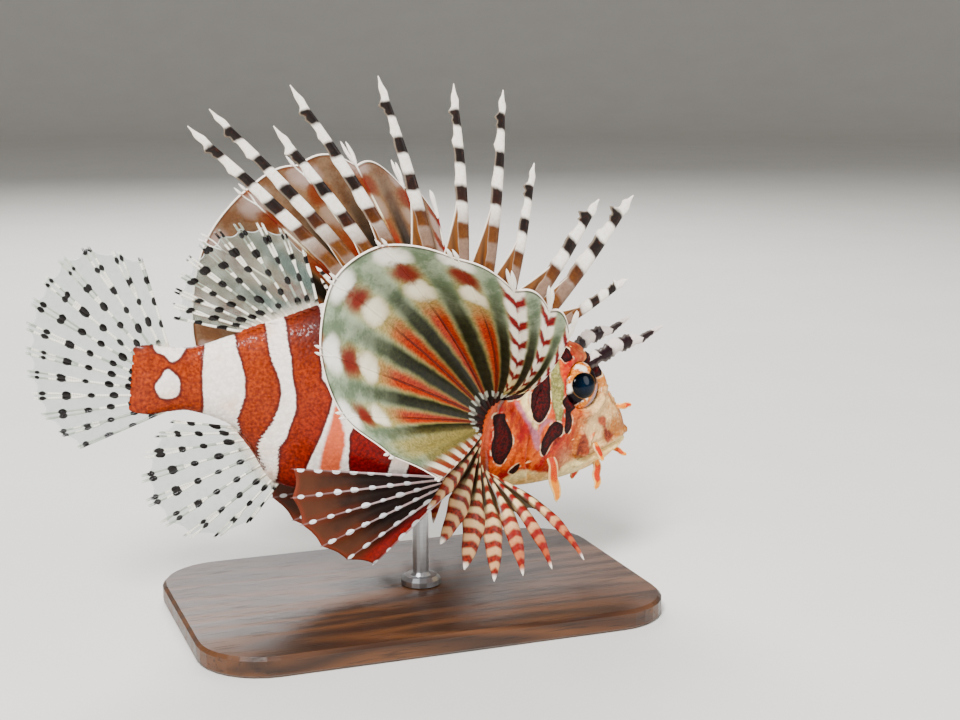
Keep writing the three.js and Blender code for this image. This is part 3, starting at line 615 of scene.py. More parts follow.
TAIL_SPOTS = [
    [(122.6, 11), (118.9, 11), (117.1, 9), (117.5, 7.6), (119.1, 5.7), (120.5, 5.3),
     (122.1, 6.7), (123.7, 7.3), (124.6, 8.4), (124.5, 11)],
    [(120.9, 3.6), (119, 2.2), (118.1, -0.1), (118.6, -2.6), (120.6, -3.4), (122.4, -3.1),
     (123.5, -1.5), (123.8, -0.3), (122.8, 1.4), (121.8, 3.2)],
]
PATCHES = {
    "maroon": [
        [(30.8, 19), (31, 13.6), (30.1, 7.3), (29.4, 4.6), (29.3, 2.4), (31, -0.3), (32.5, -1.3),
         (34.5, 0.4), (35.5, 2.4), (35.7, 4.9), (35.3, 7.1), (34.6, 11), (35.2, 17), (34, 22)],
        [(27.9, 16.4), (25.5, 17.8), (24, 15.8), (25, 14.5), (27, 14.2)],
        [(26.9, -0.5), (24.4, -1.1), (23.6, -3.5), (25, -4.8), (26.2, -6.5), (26.7, -9.7),
         (28.5, -8.7), (29.4, -6.1), (29, -3.8), (28.3, -1.9)],
        [(26.1, 4.9), (24.2, 7.3), (20.9, 7), (19.3, 6.2), (20.8, 4.5), (22.9, 3.2), (23, 2.1),
         (21.6, 0.5), (21.3, -2.1), (22.2, -3.4), (23.4, -2), (24.1, 0.5), (25.1, 2.9)],
        [(19, 17.4), (15.6, 17), (13.4, 14.6), (14, 12), (16.5, 12.6), (19.4, 15)],
        [(46.9, 4.2), (44.4, 4.9), (39.6, 6.2), (35.9, 7.9), (36.1, 6.6), (37.1, 5.5),
         (38.8, 3.9), (42.6, 3), (44.8, 3.1)],
        [(44.6, -2.9), (44.7, -0.8), (41.9, -0.1), (41.5, -1.8), (39.7, -3.9), (38.2, -6.3),
         (37.7, -8.9), (38.1, -11.2), (38.8, -13.3), (41.2, -12.7), (43, -10.2), (43.6, -8.4),
         (43.7, -5.8)],
        [(35.3, -15), (33.6, -12.4), (32.9, -14.4), (33.5, -15.7)],
        [(41.5, 27), (40.6, 20), (41.4, 13), (43, 9.5), (44, 14), (43.6, 20), (44.6, 27)],
    ],
    "red": [
        [(25.5, -1.9), (24.3, -1.4), (23.4, -4.7), (24.4, -6.3), (25.4, -6.8)],
        [(17.9, -4), (16.9, -2), (15.5, -2.6), (13.9, -5.1), (13.2, -7), (16.5, -8.6),
         (17.6, -7.9)],
        [(13.2, 2.2), (10.7, 3), (9.5, 1.8), (8.7, 0), (5.3, -1.3), (5.8, -2.9), (7.5, -4.2),
         (9.6, -2), (10.3, -0.2), (12.4, 0.4)],
    ],
    "olive": [
        [(32, 18), (29.6, 17), (27.9, 12.1), (26.8, 8.8), (26, 5.7), (25, 0), (25.4, -1),
         (26.9, -0.2), (28, 1.8), (29.1, 4.6), (30.1, 7.3), (31, 13.8)],
    ],
    "pale": [
        [(17.6, -15.3), (19.2, -11.6), (14.3, -8.9), (10.6, -6.8), (8, -5), (4.8, -2.8),
         (0.2, -1), (-3, -1.6), (-3, -14), (11, -22)],
        [(32.5, -14.3), (28.3, -14.3), (21.6, -14.2), (17, -13), (13, -19), (28, -24), (36, -20)],
        [(38.3, 3.5), (36.9, 6.5), (36.1, 5.9), (36.1, 3.8), (34.8, 0.7), (32.9, -1.6), (31.6, -3),
         (33.2, -2.6), (35.4, -0.6), (37.4, 1.8)],
    ],
    "mauve": [
        [(39.8, 3), (36.7, 1.9), (33.6, -0.6), (31.2, -4), (29.1, -8), (30.6, -8.1),
         (33.3, -4.6), (36.3, -1.3)],
        [(26.9, -0.4), (29, -1.2), (30.3, -2.8), (30.3, -5.4), (29.1, -8), (31.4, -3.7),
         (31, -0.3)],
    ],
    "blotch": [
        [(81.8, -2.3), (83.2, -9.3), (84, -16), (83.6, -22), (79.2, -22), (79.4, -16.2),
         (79, -11), (80.1, -7.1)],
        [(44, 7), (49, 5), (49.6, -6), (48, -17), (41, -18), (44, -10)],
    ],
}


MOUTH_LINE = [(-3, 0), (0, -1.6), (8, -6), (15, -9.6)]
GILL_LINE = [(36, 40), (36, 30), (37.5, 22), (40.5, 10), (43.6, 2), (44.6, -4),
             (44.2, -10), (41.5, -16), (36, -21), (32, -30), (30, -60)]
HEAD_OUTLINE = GILL_LINE + [(-20, -60), (-20, 60)]
FAR_OFF = 1e9
ROUND_STEPS = 5


def through(a, b, c, d, t):
    """A smooth curve from b to c, with a before them and d after them."""
    return 0.5 * (2 * b + (c - a) * t + (2 * a - 5 * b + 4 * c - d) * t**2
                  + (3 * b - a - 3 * c + d) * t**3)


def rounded(outline):
    """A closed outline as a smooth line through its corners."""
    corners = [np.roll(np.array(outline, float), k, 0) for k in (1, 0, -1, -2)]
    steps = np.arange(ROUND_STEPS) / ROUND_STEPS
    return np.stack([through(*corners, t) for t in steps], 1).reshape(-1, 2)


def from_side(start, run, at, up):
    """Steps to each place from the nearest point of a straight side."""
    ahead, above = at - start[0], up - start[1]
    share = np.clip((ahead * run[0] + above * run[1]) / (run @ run), 0, 1)
    return ahead - share * run[0], above - share * run[1]


def depth_inside(outline, at, up):
    """How far inside an outline each place lies, in millimetres, and less than 0 outside."""
    nearest = np.full(np.shape(at), FAR_OFF)
    inside = np.zeros(np.shape(at), bool)
    corners = np.array(outline, float)
    for start, end in zip(corners, np.roll(corners, -1, 0)):
        run = end - start
        nearest = np.minimum(nearest, np.hypot(*from_side(start, run, at, up)))
        if run[1]:
            inside ^= ((start[1] > up) != (end[1] > up)) & (
                at < start[0] + (up - start[1]) * run[0] / run[1])
    return np.where(inside, nearest, -nearest)


def line_distance(line, at, up):
    """Distance to an open line, and which side of it: more than 0 on its right."""
    nearest = np.full(np.shape(at), FAR_OFF)
    sign = np.ones(np.shape(at))
    corners = np.array(line, float)
    for start, end in zip(corners[:-1], corners[1:]):
        run = end - start
        away_x, away_y = from_side(start, run, at, up)
        away = np.hypot(away_x, away_y)
        closer = away < nearest
        nearest = np.where(closer, away, nearest)
        sign = np.where(closer, np.sign(run[1] * away_x - run[0] * away_y), sign)
    return nearest, sign


LEFT_WANDER = 0.35


def patch_numbers(at, up, side):
    """The numbers that the paint reads at places on the body's side view."""
    wander = LEFT_WANDER * (side > 0)
    x = at + wander * np.sin(up * 0.4 + 1)
    y = up + wander * np.sin(at * 0.3)
    bars = np.full(np.shape(at), -FAR_OFF)
    for front, back in BAR_EDGES:
        bars = np.maximum(bars, depth_inside(front + back[::-1], x, y))
    for spot in TAIL_SPOTS:
        bars = np.minimum(bars, -depth_inside(rounded(spot), x, y))
    numbers = {"at": at, "up": up, "bar": bars}
    for label, outlines in PATCHES.items():
        numbers[label] = np.max([depth_inside(rounded(one), x, y) for one in outlines], 0)
    fade = eased((at - 15.5) / 2) * 3
    numbers["mouth"] = line_distance(MOUTH_LINE, at, up)[0] + fade
    numbers["head"] = depth_inside(HEAD_OUTLINE, at, up)
    return numbers


trial = patch_numbers(np.array([99.0]), np.array([0.0]), RIGHT)
print("99 mm behind the snout lies", round(float(trial["bar"][0]), 1), "mm inside a bar")

# %% [markdown]
# One skin covers the head, jaw, gill covers and trunk, so that no seam shows between
# the solids. It is a fine grid wrapped on the stations. The eye sockets, lips, cheek
# edge, gill slit and fin roots are raised or sunk in it by simple curves of distance.

# %% Relief of the head
EYE_AT, EYE_UP, EYE_RADIUS, EYE_BULGE, EYE_PROUD = 19.4, 9.4, 6.3, 4.8, 2.1
CHEEK_LINE = [(33.6, 9), (34.4, 2), (34.2, -6), (32, -12), (28.5, -16.5)]
RIDGES = [
    ([(22.4, 4.2), (26, 2), (31.6, -0.6)], 0.55, 0.9),
    ([(12.6, 6.8), (15, 3), (18.6, 1.4)], 0.45, 0.7),
    ([(33.6, 7.6), (38, 6), (42.6, 2.8)], 0.5, 0.8),
    ([(33.6, 7.6), (37.6, 10.2), (40.2, 12)], 0.4, 0.7),
    ([(6.6, 4.2), (10.4, 7.6), (13.2, 12)], 0.4, 0.8),
    ([(25.4, 12.2), (29, 14.4), (34, 15.4)], 0.5, 0.8),
    ([(26.6, 8.4), (31, 7.4)], 0.35, 0.7),
    ([(10, -2.6), (13.4, -4.2), (14.6, -8)], 0.4, 0.6),
]
NOSTRILS = [(6.4, 8.0), (10.0, 11.0)]
UPPER_JAW = [(18.4, -3.6), (17, -1.8), (15.4, -2.4), (13.4, -4.6), (12.8, -7.2), (16.4, -9),
             (18, -8)]
BREAST_LINE = [(43.2, 5.5), (45.4, 1), (46.6, -5.4), (46.8, -15.5)]


def hump(distance, width):
    return np.exp(-((distance / width) ** 2))


def relief(at, up, share_across):
    """How far the skin stands off the stations, in millimetres."""
    from_eye = np.hypot(at - EYE_AT, up - EYE_UP)
    height = 0.95 * hump(from_eye - 7.1, 1.15) - 3.6 * eased((6.5 - from_eye) / 1.5)
    height += 0.5 * hump(from_eye - 9.4, 0.8) * (up > EYE_UP)
    away, _ = line_distance(MOUTH_LINE, at, up)
    fade = eased((16.5 - at) / 2)
    height += fade * (0.7 * hump(away - 1.2, 0.9) - 1.0 * hump(away, 0.42))
    away, side = line_distance(CHEEK_LINE, at, up)
    height += 0.5 * (np.where(side < 0, hump(away, 1.6), 0) - hump(away - 0.5, 0.5) * (side > 0))
    for line, rise, width in RIDGES:
        height += rise * hump(line_distance(line, at, up)[0], width)
    for pit_at, pit_up in NOSTRILS:
        away = np.hypot(at - pit_at, up - pit_up)
        height += 0.35 * hump(away - 0.95, 0.35) - 0.9 * hump(away, 0.55)
    height += 0.6 * eased((depth_inside(UPPER_JAW, at, up) + 0.2) / 0.7)
    behind = depth_inside(HEAD_OUTLINE, at, up)
    height += np.where(behind > 0, 0.35 * hump(behind, 1.6), -0.9 * hump(behind + 0.9, 0.8))
    height += 1.1 * hump(line_distance(BREAST_LINE, at, up)[0], 1.5)
    height += 0.35 * hump(np.hypot(at - 36, up + 1), 5) * hump(np.sin(at * 1.1 + up * 0.5), 0.6)
    return height * eased(share_across / 0.35)


def crest(at, up, share_across):
    """Low fleshy ridges where the fins of the back and of the vent are rooted."""
    back = eased((at - 24) / 3) * eased((106 - at) / 3) * (up > 0)
    vent = eased((at - 91) / 2) * eased((106 - at) / 2) * (up < 0)
    return 0.55 * (back + vent) * hump(share_across, 0.16)


print("the socket is", round(float(-relief(EYE_AT, EYE_UP, 1.0)), 1), "mm deep")

# %% The skin
AROUND = 280
SKIN_SINK = 0.08


def skin_rows():
    """Distances behind the snout, finest on the head, and the caps at both ends."""
    nose = [(0.0, math.sin(t), math.sin(t), 1.1 * math.cos(t))
            for t in np.radians([4, 16, 30, 46, 62, 78])]
    trunk = [(at, 1.0, 1.0, 0.0) for at in np.concatenate([
        np.arange(0, 50, 0.34), np.arange(50, STANDARD_LENGTH, 0.56)])]
    stalk = [(STANDARD_LENGTH, math.cos(t) ** 1.5, 0.86 + 0.14 * math.cos(t), -4.2 * math.sin(t))
             for t in np.radians([0, 12, 25, 38, 50, 62, 72, 80, 87])]
    return np.array(nose + trunk + stalk)


def skin_grid():
    at, size, tall, ahead = (np.repeat(column[:, None], AROUND, 1) for column in skin_rows().T)
    turn = np.broadcast_to(np.arange(AROUND) / AROUND * 2 * np.pi, at.shape)
    across, up, left = section(at, turn)
    middle = (station(at, TOP) + station(at, BOTTOM)) / 2
    grid = place(at, ahead, left * size, middle + (up - middle) * tall)
    nearby = np.concatenate([grid[:, -1:], grid, grid[:, :1]], 1)
    normal = grid_normals(nearby)[:, 1:-1]
    normal *= np.sign(np.sum(normal * (grid - place(at, 0, 0, middle)), -1, keepdims=True))
    lift = (relief(at, up, np.abs(across)) + crest(at, up, np.abs(across))) * size - SKIN_SINK
    numbers = patch_numbers(at, up, np.sign(across))
    uv = np.stack([turn / (2 * np.pi), (at - ahead + 2) / (STANDARD_LENGTH + 6)], -1)
    return grid + normal * lift[..., None], numbers, uv.reshape(-1, 2)


skin_rings, skin_numbers, skin_uv = skin_grid()
skin_points, skin_faces, _ = capped(skin_rings, {})
skin_numbers = {label: np.append(given, given.ravel()[[0, -1]])
                for label, given in skin_numbers.items()}
print("skin of", len(skin_faces), "faces")

# %% [markdown]
# The paint of the skin is laid in order, as an artist would: the pale ground, the bars
# with their dark rims, then the head's mask. Every edge is nudged by a little noise, so
# that it looks grown and not cut. Scales use the same recipe, so that they match.

# %% Paint of skin and scales


def skin_finish(name, scaly):
    f = Finish(name, **FLESH)
    at, up = f.numbers("at", "up")
    ragged = (f.noise(0.9, 3, 1) - 0.5) * 0.7 + (f.noise(3.5, 2, 2) - 0.5) * 0.9
    grain = f.noise(0.7, 3, 5)
    cloud = f.noise(7, 3, 3)
    white = f.mix(cloud.rise(0.45, 0.8) * 0.7, "f4ebe2", "ecc9b2")
    bar = f.number("bar") + ragged * 0.6
    redder = ((100 - at) / 26).low(1.0).high(0.0) * 0.7 + (up * -1.0 / 40).high(0.0)
    brown = f.flecks(grain, "682405", "9a420c", 0.3, 0.75)
    rust = f.flecks(grain, "500c02", "801b04", 0.3, 0.75)
    bars = f.mix(redder.low(1.0), brown, rust)
    # Near the top of the front half, the bars are darkened as painted shade: the shadow that the
    # breast fins cast on them.
    bars = f.mix((up - 3).rise(0, 12) * redder.rise(0.0, 0.4) * 0.85, bars, "300904")
    f.colour = f.mix(bar.rise(-0.2, 0.2), white, bars)
    rim = bar.rise(-0.25, 0.1) * bar.rise(0.85, 0.3)
    f.lay(rim * 0.75, "3c0f10")
    blotch = (f.number("blotch") + ragged).rise(-0.7, 0.35)
    f.lay(blotch * 0.95, "c25400")

    tan = f.flecks(cloud * 0.7 + grain * 0.3, "a8693a", "e2bd8c", 0.4, 0.62)
    lumps = f.noise(4, 3, 9, (1, 1, 0.45)) * 0.8 + grain * 0.2
    orange = f.flecks(lumps, "a22204", "de6a12", 0.38, 0.62)
    face = f.mix((at - 14).rise(0, 11), tan, orange)
    face = f.mix((up - 13).rise(0, 5) * 0.7, face, "6e3424")
    vein = f.noise(1.6, 3, 11, (1, 1, 0.35)).rise(0.52, 0.6) * (at - 14).rise(0, 8)
    face = f.mix(vein * 0.55, face, "8e1c0a")
    crease = f.noise(2.6, 4, 17, (1, 1, 0.6)).rise(0.56, 0.66) * (26 - at).rise(0, 10)
    face = f.mix(crease * 0.5, face, "7a4424")
    f.lay((f.number("head") + ragged * 0.3).rise(-0.3, 0.2), face)
    mauve = (f.number("mauve") + ragged * 0.8).rise(-0.5, 0.6)
    f.lay(mauve * 0.75, "b0788c")
    pale = (f.number("pale") + ragged * 0.8).rise(-0.6, 0.7)
    f.lay(pale, f.flecks(cloud, "ffe8ae", "ffce88", 0.4, 0.7))
    olive = (f.number("olive") + ragged * 0.4).rise(-0.2, 0.35)
    f.lay(olive, f.flecks(grain, "6f6c40", "a39c6a", 0.35, 0.7))
    f.lay(f.number("olive").rise(0.55, 0.1) * olive * 0.5, "3a3420")
    red = f.number("red") + ragged * 1.1
    f.lay(red.rise(-0.3, 0.7) * 0.9,
          f.flecks(grain * 0.5 + cloud * 0.5, "520d04", "90300f", 0.4, 0.6))
    maroon = f.number("maroon") + ragged * 0.45
    broken = f.noise(2.4, 3, 21).rise(0.42, 0.6)
    f.lay(maroon.rise(-0.55, -0.15) * maroon.rise(0.1, -0.1) * broken, "f2dcb8")
    patch = maroon.rise(-0.12, 0.14)
    f.lay(patch, f.mix(maroon.rise(0.3, 1.5) * grain.rise(0.3, 0.7) * 0.85, "120304", "560e05"))
    freckle = f.cells(1.05)
    dark = f.mix(0.5, f.colour, (0.02, 0.005, 0.004))
    f.lay(freckle.rise(0.42, 0.62) * (0.25 if scaly else 0.4), dark)
    # The dark line along the mouth is painted shade in the groove between the lips.
    mouth = f.number("mouth").rise(0.42, 0.15)
    f.lay(mouth * 0.85, "3a1008")
    f.bump(freckle.rise(0.1, 0.6) * -0.6 + grain * 0.6, 0.08 if scaly else 0.16)
    return f.wear(Roughness=grain * 0.2 + 0.44, Coat_Weight=(cloud * 0.2 + 0.04) * (1.0 - patch))


skin_paint = skin_finish("painted_skin", False)
scale_paint = skin_finish("painted_scales", True)
skin = make_piece("fish_skin", skin_points, skin_faces, skin_numbers, skin_paint)
lay_flat(skin.data, "unwrap", np.concatenate([skin_uv, [[0.5, 0], [0.5, 1]]]))
dress(skin, "body", "head", "lower_jaw", "gill_cover_right", "gill_cover_left", "torso",
      "tail_stalk")
print("skin material has", len(skin_paint.node_tree.nodes), "nodes")

# %% [markdown]
# What repeats is made by Geometry Nodes. Each tree is built here from the same kind of
# graph, with its sizes as named inputs. Its result is turned into a plain mesh, because
# instances and modifiers don't survive the export.

# %% Geometry tree helper


class Growth(Graph):
    """A Geometry Nodes tree with named inputs."""

    def __init__(self, name, **inputs):
        super().__init__(bpy.data.node_groups.new(name, "GeometryNodeTree"))
        face = self.tree.interface
        for label, kind in {"Geometry": "Geometry", **inputs}.items():
            face.new_socket(label, in_out="INPUT", socket_type="NodeSocket" + kind)
        face.new_socket("Geometry", in_out="OUTPUT", socket_type="NodeSocketGeometry")
        self.input = self.tree.nodes.new("NodeGroupInput").outputs
        self.end = self.tree.nodes.new("NodeGroupOutput")

    def stored(self, name, kind="FLOAT"):
        """Numbers or vectors that the points carry."""
        made = self.node("GeometryNodeInputNamedAttribute", {"data_type": kind}, {"Name": name})
        return self.result(made)

    def close(self, geometry):
        """Makes the result real, gives it its finish and hands it on."""
        real = self.node("GeometryNodeRealizeInstances", None, {"Geometry": geometry})
        worn = self.node("GeometryNodeSetMaterial", None, {
            "Geometry": real.outputs[0], "Material": self.input["Finish"]})
        self.feed(self.end.inputs[0], worn.outputs[0])

    def grow(self, source, name, **given):
        """Runs the tree on an object and returns a plain mesh object."""
        modifier = source.modifiers.new("growth", "NODES")
        modifier.node_group = self.tree
        for item in self.tree.interface.items_tree:
            if item.in_out == "INPUT" and item.name in given:
                modifier[item.identifier] = given[item.name]
        graph = bpy.context.evaluated_depsgraph_get()
        mesh = bpy.data.meshes.new_from_object(source.evaluated_get(graph), depsgraph=graph)
        mesh.name = name
        smooth(mesh)
        source.modifiers.remove(modifier)
        bpy.data.objects.remove(source)
        return set_in_scene(name, mesh)


print("geometry trees are ready")

# %% [markdown]
# The trunk carries thousands of small rough-edged scales in slanting rows, each lapping
# over the next one behind it. One plate of a few faces is set on each root point, turned
# to the skin there, and slightly smaller towards the tail.

# %% Scales
SCALE_STEP = 1.0
SCALE_LENGTH = 1.5
SCALE_WIDTH = 1.16
MAP_PATCH = 0.003


def scale_plate():
    """A shield-shaped plate: its front is sunk in the skin and its free edge is lifted."""
    outline = [(-0.5, 0.0, -0.07), (-0.3, 0.38, -0.05), (0.12, 0.5, 0.0), (0.4, 0.3, 0.03),
               (0.5, 0.0, 0.04), (0.4, -0.3, 0.03), (0.12, -0.5, 0.0), (-0.3, -0.38, -0.05)]
    count = len(outline)
    faces = [(1 + i, 0, 1 + (i + 1) % count) for i in range(count)]
    faces.append(tuple(1 + i for i in range(count)))
    return np.array([(0.12, 0.0, 0.055)] + outline), faces


def scale_roots():
    """Root points in slanting rows over the trunk, with their place, turn and size."""
    spots, sizes = [], []
    along = np.arange(37.0, 125.0, SCALE_STEP * 0.5)
    for k, at in enumerate(along):
        small = np.clip(1.0 - 0.3 * eased((at - 100) / 24), 0.6, 1)
        fine = np.linspace(0, 2 * np.pi, 721)[:-1]
        _, up, left = section(at, fine)
        length = np.concatenate([[0], np.cumsum(np.hypot(np.diff(left), np.diff(up)))])
        whole = length[-1] + math.hypot(left[0] - left[-1], up[0] - up[-1])
        count = int(whole / (SCALE_WIDTH * 0.94 * small) / 2) * 2
        marks = (np.arange(count) + (0.5 if k % 2 else 0.0)) / count * whole
        turns = np.interp(marks % whole, np.append(length, whole), np.append(fine, 2 * np.pi))
        spots += [(at, turn) for turn in turns]
        sizes += [small] * count
    return np.array(spots), np.array(sizes)


def body_point(at, turn):
    across, up, left = section(at, turn)
    return place(at, 0, left, up), up, across


roots, root_sizes = scale_roots()
at, turn = roots.T
spot, root_up, root_across = body_point(at, turn)
root_numbers = patch_numbers(at, root_up, np.sign(root_across))
clear_gill = root_numbers["head"] < -2.2
clear_breast = line_distance(BREAST_LINE, at, root_up)[0] > 2.2
clear_edge = (np.abs(root_across) > 0.1) | (at > 108)
keep = clear_gill & clear_breast & clear_edge
tail_way = body_point(at + 0.2, turn)[0] - body_point(at - 0.2, turn)[0]
after, before = body_point(at, turn + 0.02), body_point(at, turn - 0.02)
round_way = after[0] - before[0]
out_way = np.cross(round_way, tail_way)
out_way *= np.sign(np.sum(out_way * (spot - place(at)), -1, keepdims=True))
tail_way, out_way = unit(tail_way), unit(out_way)
climb = (after[1] - before[1]) / np.linalg.norm(round_way, axis=-1)
climb *= np.sign(np.sum(np.cross(out_way, tail_way) * round_way, -1))
print("scale roots", int(keep.sum()))


def turn_angles(forward, normal):
    """Euler angles that point an instance's X forward and its Z along the normal."""
    side = unit(np.cross(normal, forward))
    forward = np.cross(side, normal)
    pitch = -np.arcsin(np.clip(forward[:, 2], -1, 1))
    return np.stack([
        np.arctan2(side[:, 2], normal[:, 2]), pitch, np.arctan2(forward[:, 1], forward[:, 0])], -1)


chance = np.random.default_rng(7)
lift = relief(at, root_up, np.abs(root_across)) + crest(at, root_up, np.abs(root_across))
root_object = make_piece(
    "scale_roots", (spot + out_way * lift[:, None])[keep], [],
    {"at": at[keep], "up": root_up[keep], "size": root_sizes[keep], "climb": climb[keep],
     "flank": np.sign(root_across)[keep]})
on_map = np.stack([turn / (2 * np.pi) % 1, (at + 2) / (STANDARD_LENGTH + 6), 0 * at], -1)[keep]
wobble = chance.normal(0, 0.05, (int(keep.sum()), 3))
carry(root_object.data, "FLOAT_VECTOR", unwrapped=on_map,
      turned=turn_angles(tail_way[keep], out_way[keep]) + wobble)

plate_points, plate_faces = scale_plate()
plate = make_piece("one_scale", plate_points * (SCALE_LENGTH, SCALE_WIDTH, 1.0), plate_faces)
carry(plate.data, "FLOAT_VECTOR", plate_uv=plate_points)
for edge in plate.data.edges:
    edge.use_edge_sharp = 0 not in edge.vertices

shingle = Growth("lapping_plates", Plate="Object", Size="Float", Finish="Material")
shape = shingle.node("GeometryNodeObjectInfo", None, {"Object": shingle.input["Plate"]})
size = Value(shingle, shingle.stored("size")) * shingle.input["Size"]
turned = shingle.node("FunctionNodeEulerToRotation", None, {
    "Euler": shingle.stored("turned", "FLOAT_VECTOR")})
laid = shingle.node("GeometryNodeInstanceOnPoints", None, {
    "Points": shingle.input["Geometry"], "Instance": shape.outputs["Geometry"],
    "Rotation": turned.outputs[0], "Scale": size})
shingle.close(laid.outputs[0])
scales = shingle.grow(root_object, "fish_scales", Plate=plate, Size=1.0, Finish=scale_paint)
bpy.data.objects.remove(plate)


def read(mesh, label):
    """The numbers or the vectors that a mesh carries at its points."""
    stored = mesh.attributes[label]
    wide = 3 if stored.data_type == "FLOAT_VECTOR" else 1
    found = np.zeros(len(mesh.vertices) * wide, np.float32)
    stored.data.foreach_get("vector" if wide == 3 else "value", found)
    return found.reshape(-1, 3).astype(float) if wide == 3 else found.astype(float)


def paint_corners(piece):
    """Gives every corner of a scale its own place in the patches, for crisp edges."""
    mesh = piece.data
    own, size = read(mesh, "plate_uv"), read(mesh, "size")
    corner_at = read(mesh, "at") + own[:, 0] * SCALE_LENGTH * size
    corner_up = read(mesh, "up") + own[:, 1] * SCALE_WIDTH * size * read(mesh, "climb")
    carry(mesh, **patch_numbers(corner_at, corner_up, read(mesh, "flank")))


paint_corners(scales)
spread = read(scales.data, "unwrapped") + read(scales.data, "plate_uv") * MAP_PATCH
lay_flat(scales.data, "OFBake", spread[:, :2])
print("scales have", dress(scales, "body"), "triangles")

# %% [markdown]
# Every fin here is a fan: rays that leave a root line, each a smooth curve, with skin
# between them. One class holds the rays and gives the surface between them, so that a
# fin's skin, its rays and its paint all agree on where a ray lies.

# %% Rays of a fin
RAD = math.pi / 180
ROOTED = -0.07


def nearest_ray(ray):
    """The number of the nearest ray, and how far off it lies, up to half the way between."""
    return (ray + 0.5).floor(), abs((ray + 0.5).fraction() - 0.5)


def along(values, share):
    """Values at even steps from 0 to 1, joined by straight lines."""
    return np.interp(share, np.linspace(0, 1, len(values)), values)


class Fan:
    """Rays as curves with one bend, numbered from 0, and the surface between them."""

    def __init__(self, root, direction, length, bow=0.0):
        self.root = root
        self.tip = root + direction * length[:, None]
        self.middle = (self.root + self.tip) / 2 + bow
        self.length = length
        self.count = len(root)

    def between(self, values, ray):
        """Smooth values between the rays, true at each of them."""
        i = np.clip(np.floor(ray).astype(int), 0, self.count - 2)
        t = (ray - i)[..., None] if values.ndim > 1 else ray - i
        one, two = values[i], values[i + 1]
        before = np.where((i > 0).reshape(t.shape), values[np.maximum(i - 1, 0)], 2 * one - two)
        last = np.minimum(i + 2, self.count - 1)
        after = np.where((i < self.count - 2).reshape(t.shape), values[last], 2 * two - one)
        return through(before, one, two, after, t)

    def point(self, ray, share):
        ray, share = np.broadcast_arrays(np.asarray(ray, float), np.asarray(share, float))
        s = share[..., None]
        root, middle, tip = (self.between(one, ray) for one in (self.root, self.middle, self.tip))
        return root * (1 - s) ** 2 + 2 * middle * s * (1 - s) + tip * s**2

    def gap(self, ray, share):
        """Distance between the two rays on each side of a place."""
        i = np.clip(np.floor(ray), 0, self.count - 2)
        return np.linalg.norm(self.point(i + 1, share) - self.point(i, share), axis=-1)

    def numbers(self, ray, share, margin):
        length = self.between(self.length, ray)
        return {"ray": ray, "share": share, "run": share * length, "rim": (margin - share) * length,
                "gap": self.gap(ray, share)}


def fan_from(at, count, root, lean, length, sideways=0.0):
    """A fan in or near the fish's middle plane, leaning by angles from straight ahead."""
    share = np.linspace(0, 1, count)
    turn = lean(share) * RAD
    return Fan(root(share), heading(at, np.cos(turn), sideways, np.sin(turn)), length(share))


def web(fan, free, notch, billow=0.3, columns=8, rows=56):
    """The skin between the rays as a grid of points, with the numbers for its paint."""
    ray = np.linspace(0, fan.count - 1, (fan.count - 1) * columns + 1)[None, :]
    dip = np.abs(np.sin(np.pi * ray))
    free, notch = (np.broadcast_to(np.asarray(v, float), (fan.count,)) for v in (free, notch))
    margin = 1 - fan.between(free, ray) - fan.between(notch, ray) * dip
    share = ROOTED + (margin - ROOTED) * np.linspace(0, 1, rows)[:, None]
    ray = ray + 0 * share
    grid = fan.point(ray, share)
    belly = billow * dip * arched(share)
    return grid + grid_normals(grid) * belly[..., None], fan.numbers(ray, share, margin)


def fin_skin(name, fan, half, finish, **shape):
    grid, numbers = web(fan, **shape)
    thick = half * (1 - 0.55 * np.clip(numbers["share"], 0, 1))
    points, faces, twice = thin_sheet(grid, thick, numbers)
    first_inside = grid_normals(grid)[..., 1].sum() * grid[..., 1].mean() < 0
    twice["inside"] = np.repeat([first_inside, not first_inside], grid[..., 0].size)
    return make_piece(name, points, faces, twice, finish)


trial_fan = Fan(np.zeros((2, 3)), np.eye(3)[:2], np.full(2, 10.0))
print("10 mm rays at right angles end", round(float(trial_fan.gap(0, 1)), 1), "mm apart")

# %% [markdown]
# Rays are thin rods that taper and fork towards the margin. Each is drawn as a line of
# points with a thickness, and a small Geometry Nodes tree sweeps a ring along it. The
# numbers of the line travel with it, so that a rod carries its own bands.

# %% Swept rods
sweep = Growth("swept_rods", Sides="Int", Finish="Material")
lines = sweep.node("GeometryNodeMeshToCurve", None, {"Mesh": sweep.input["Geometry"]})
ring = sweep.node("GeometryNodeCurvePrimitiveCircle", None, {
    "Resolution": sweep.input["Sides"], "Radius": 1.0})
swept = sweep.node("GeometryNodeCurveToMesh", None, {
    "Curve": lines.outputs[0], "Profile Curve": ring.outputs[0],
    "Scale": sweep.stored("thick"), "Fill Caps": True})
sweep.close(swept.outputs[0])


def rods(name, strands, finish, sides=6):
    """Strands of (points, thickness in millimetres, numbers) as one piece of tapered rods."""
    points, thick = (np.concatenate([strand[k] for strand in strands]) * MM for k in (0, 1))
    numbers = {label: np.concatenate([strand[2][label] for strand in strands])
               for label in strands[0][2]}
    mesh = bpy.data.meshes.new(name)
    edges, start = [], 0
    for strand in strands:
        edges += [(start + i, start + i + 1) for i in range(len(strand[0]) - 1)]
        start += len(strand[0])
    mesh.from_pydata(points.tolist(), edges, [])
    carry(mesh, **numbers, thick=thick)
    return sweep.grow(set_in_scene(name, mesh), name, Sides=sides, Finish=finish)


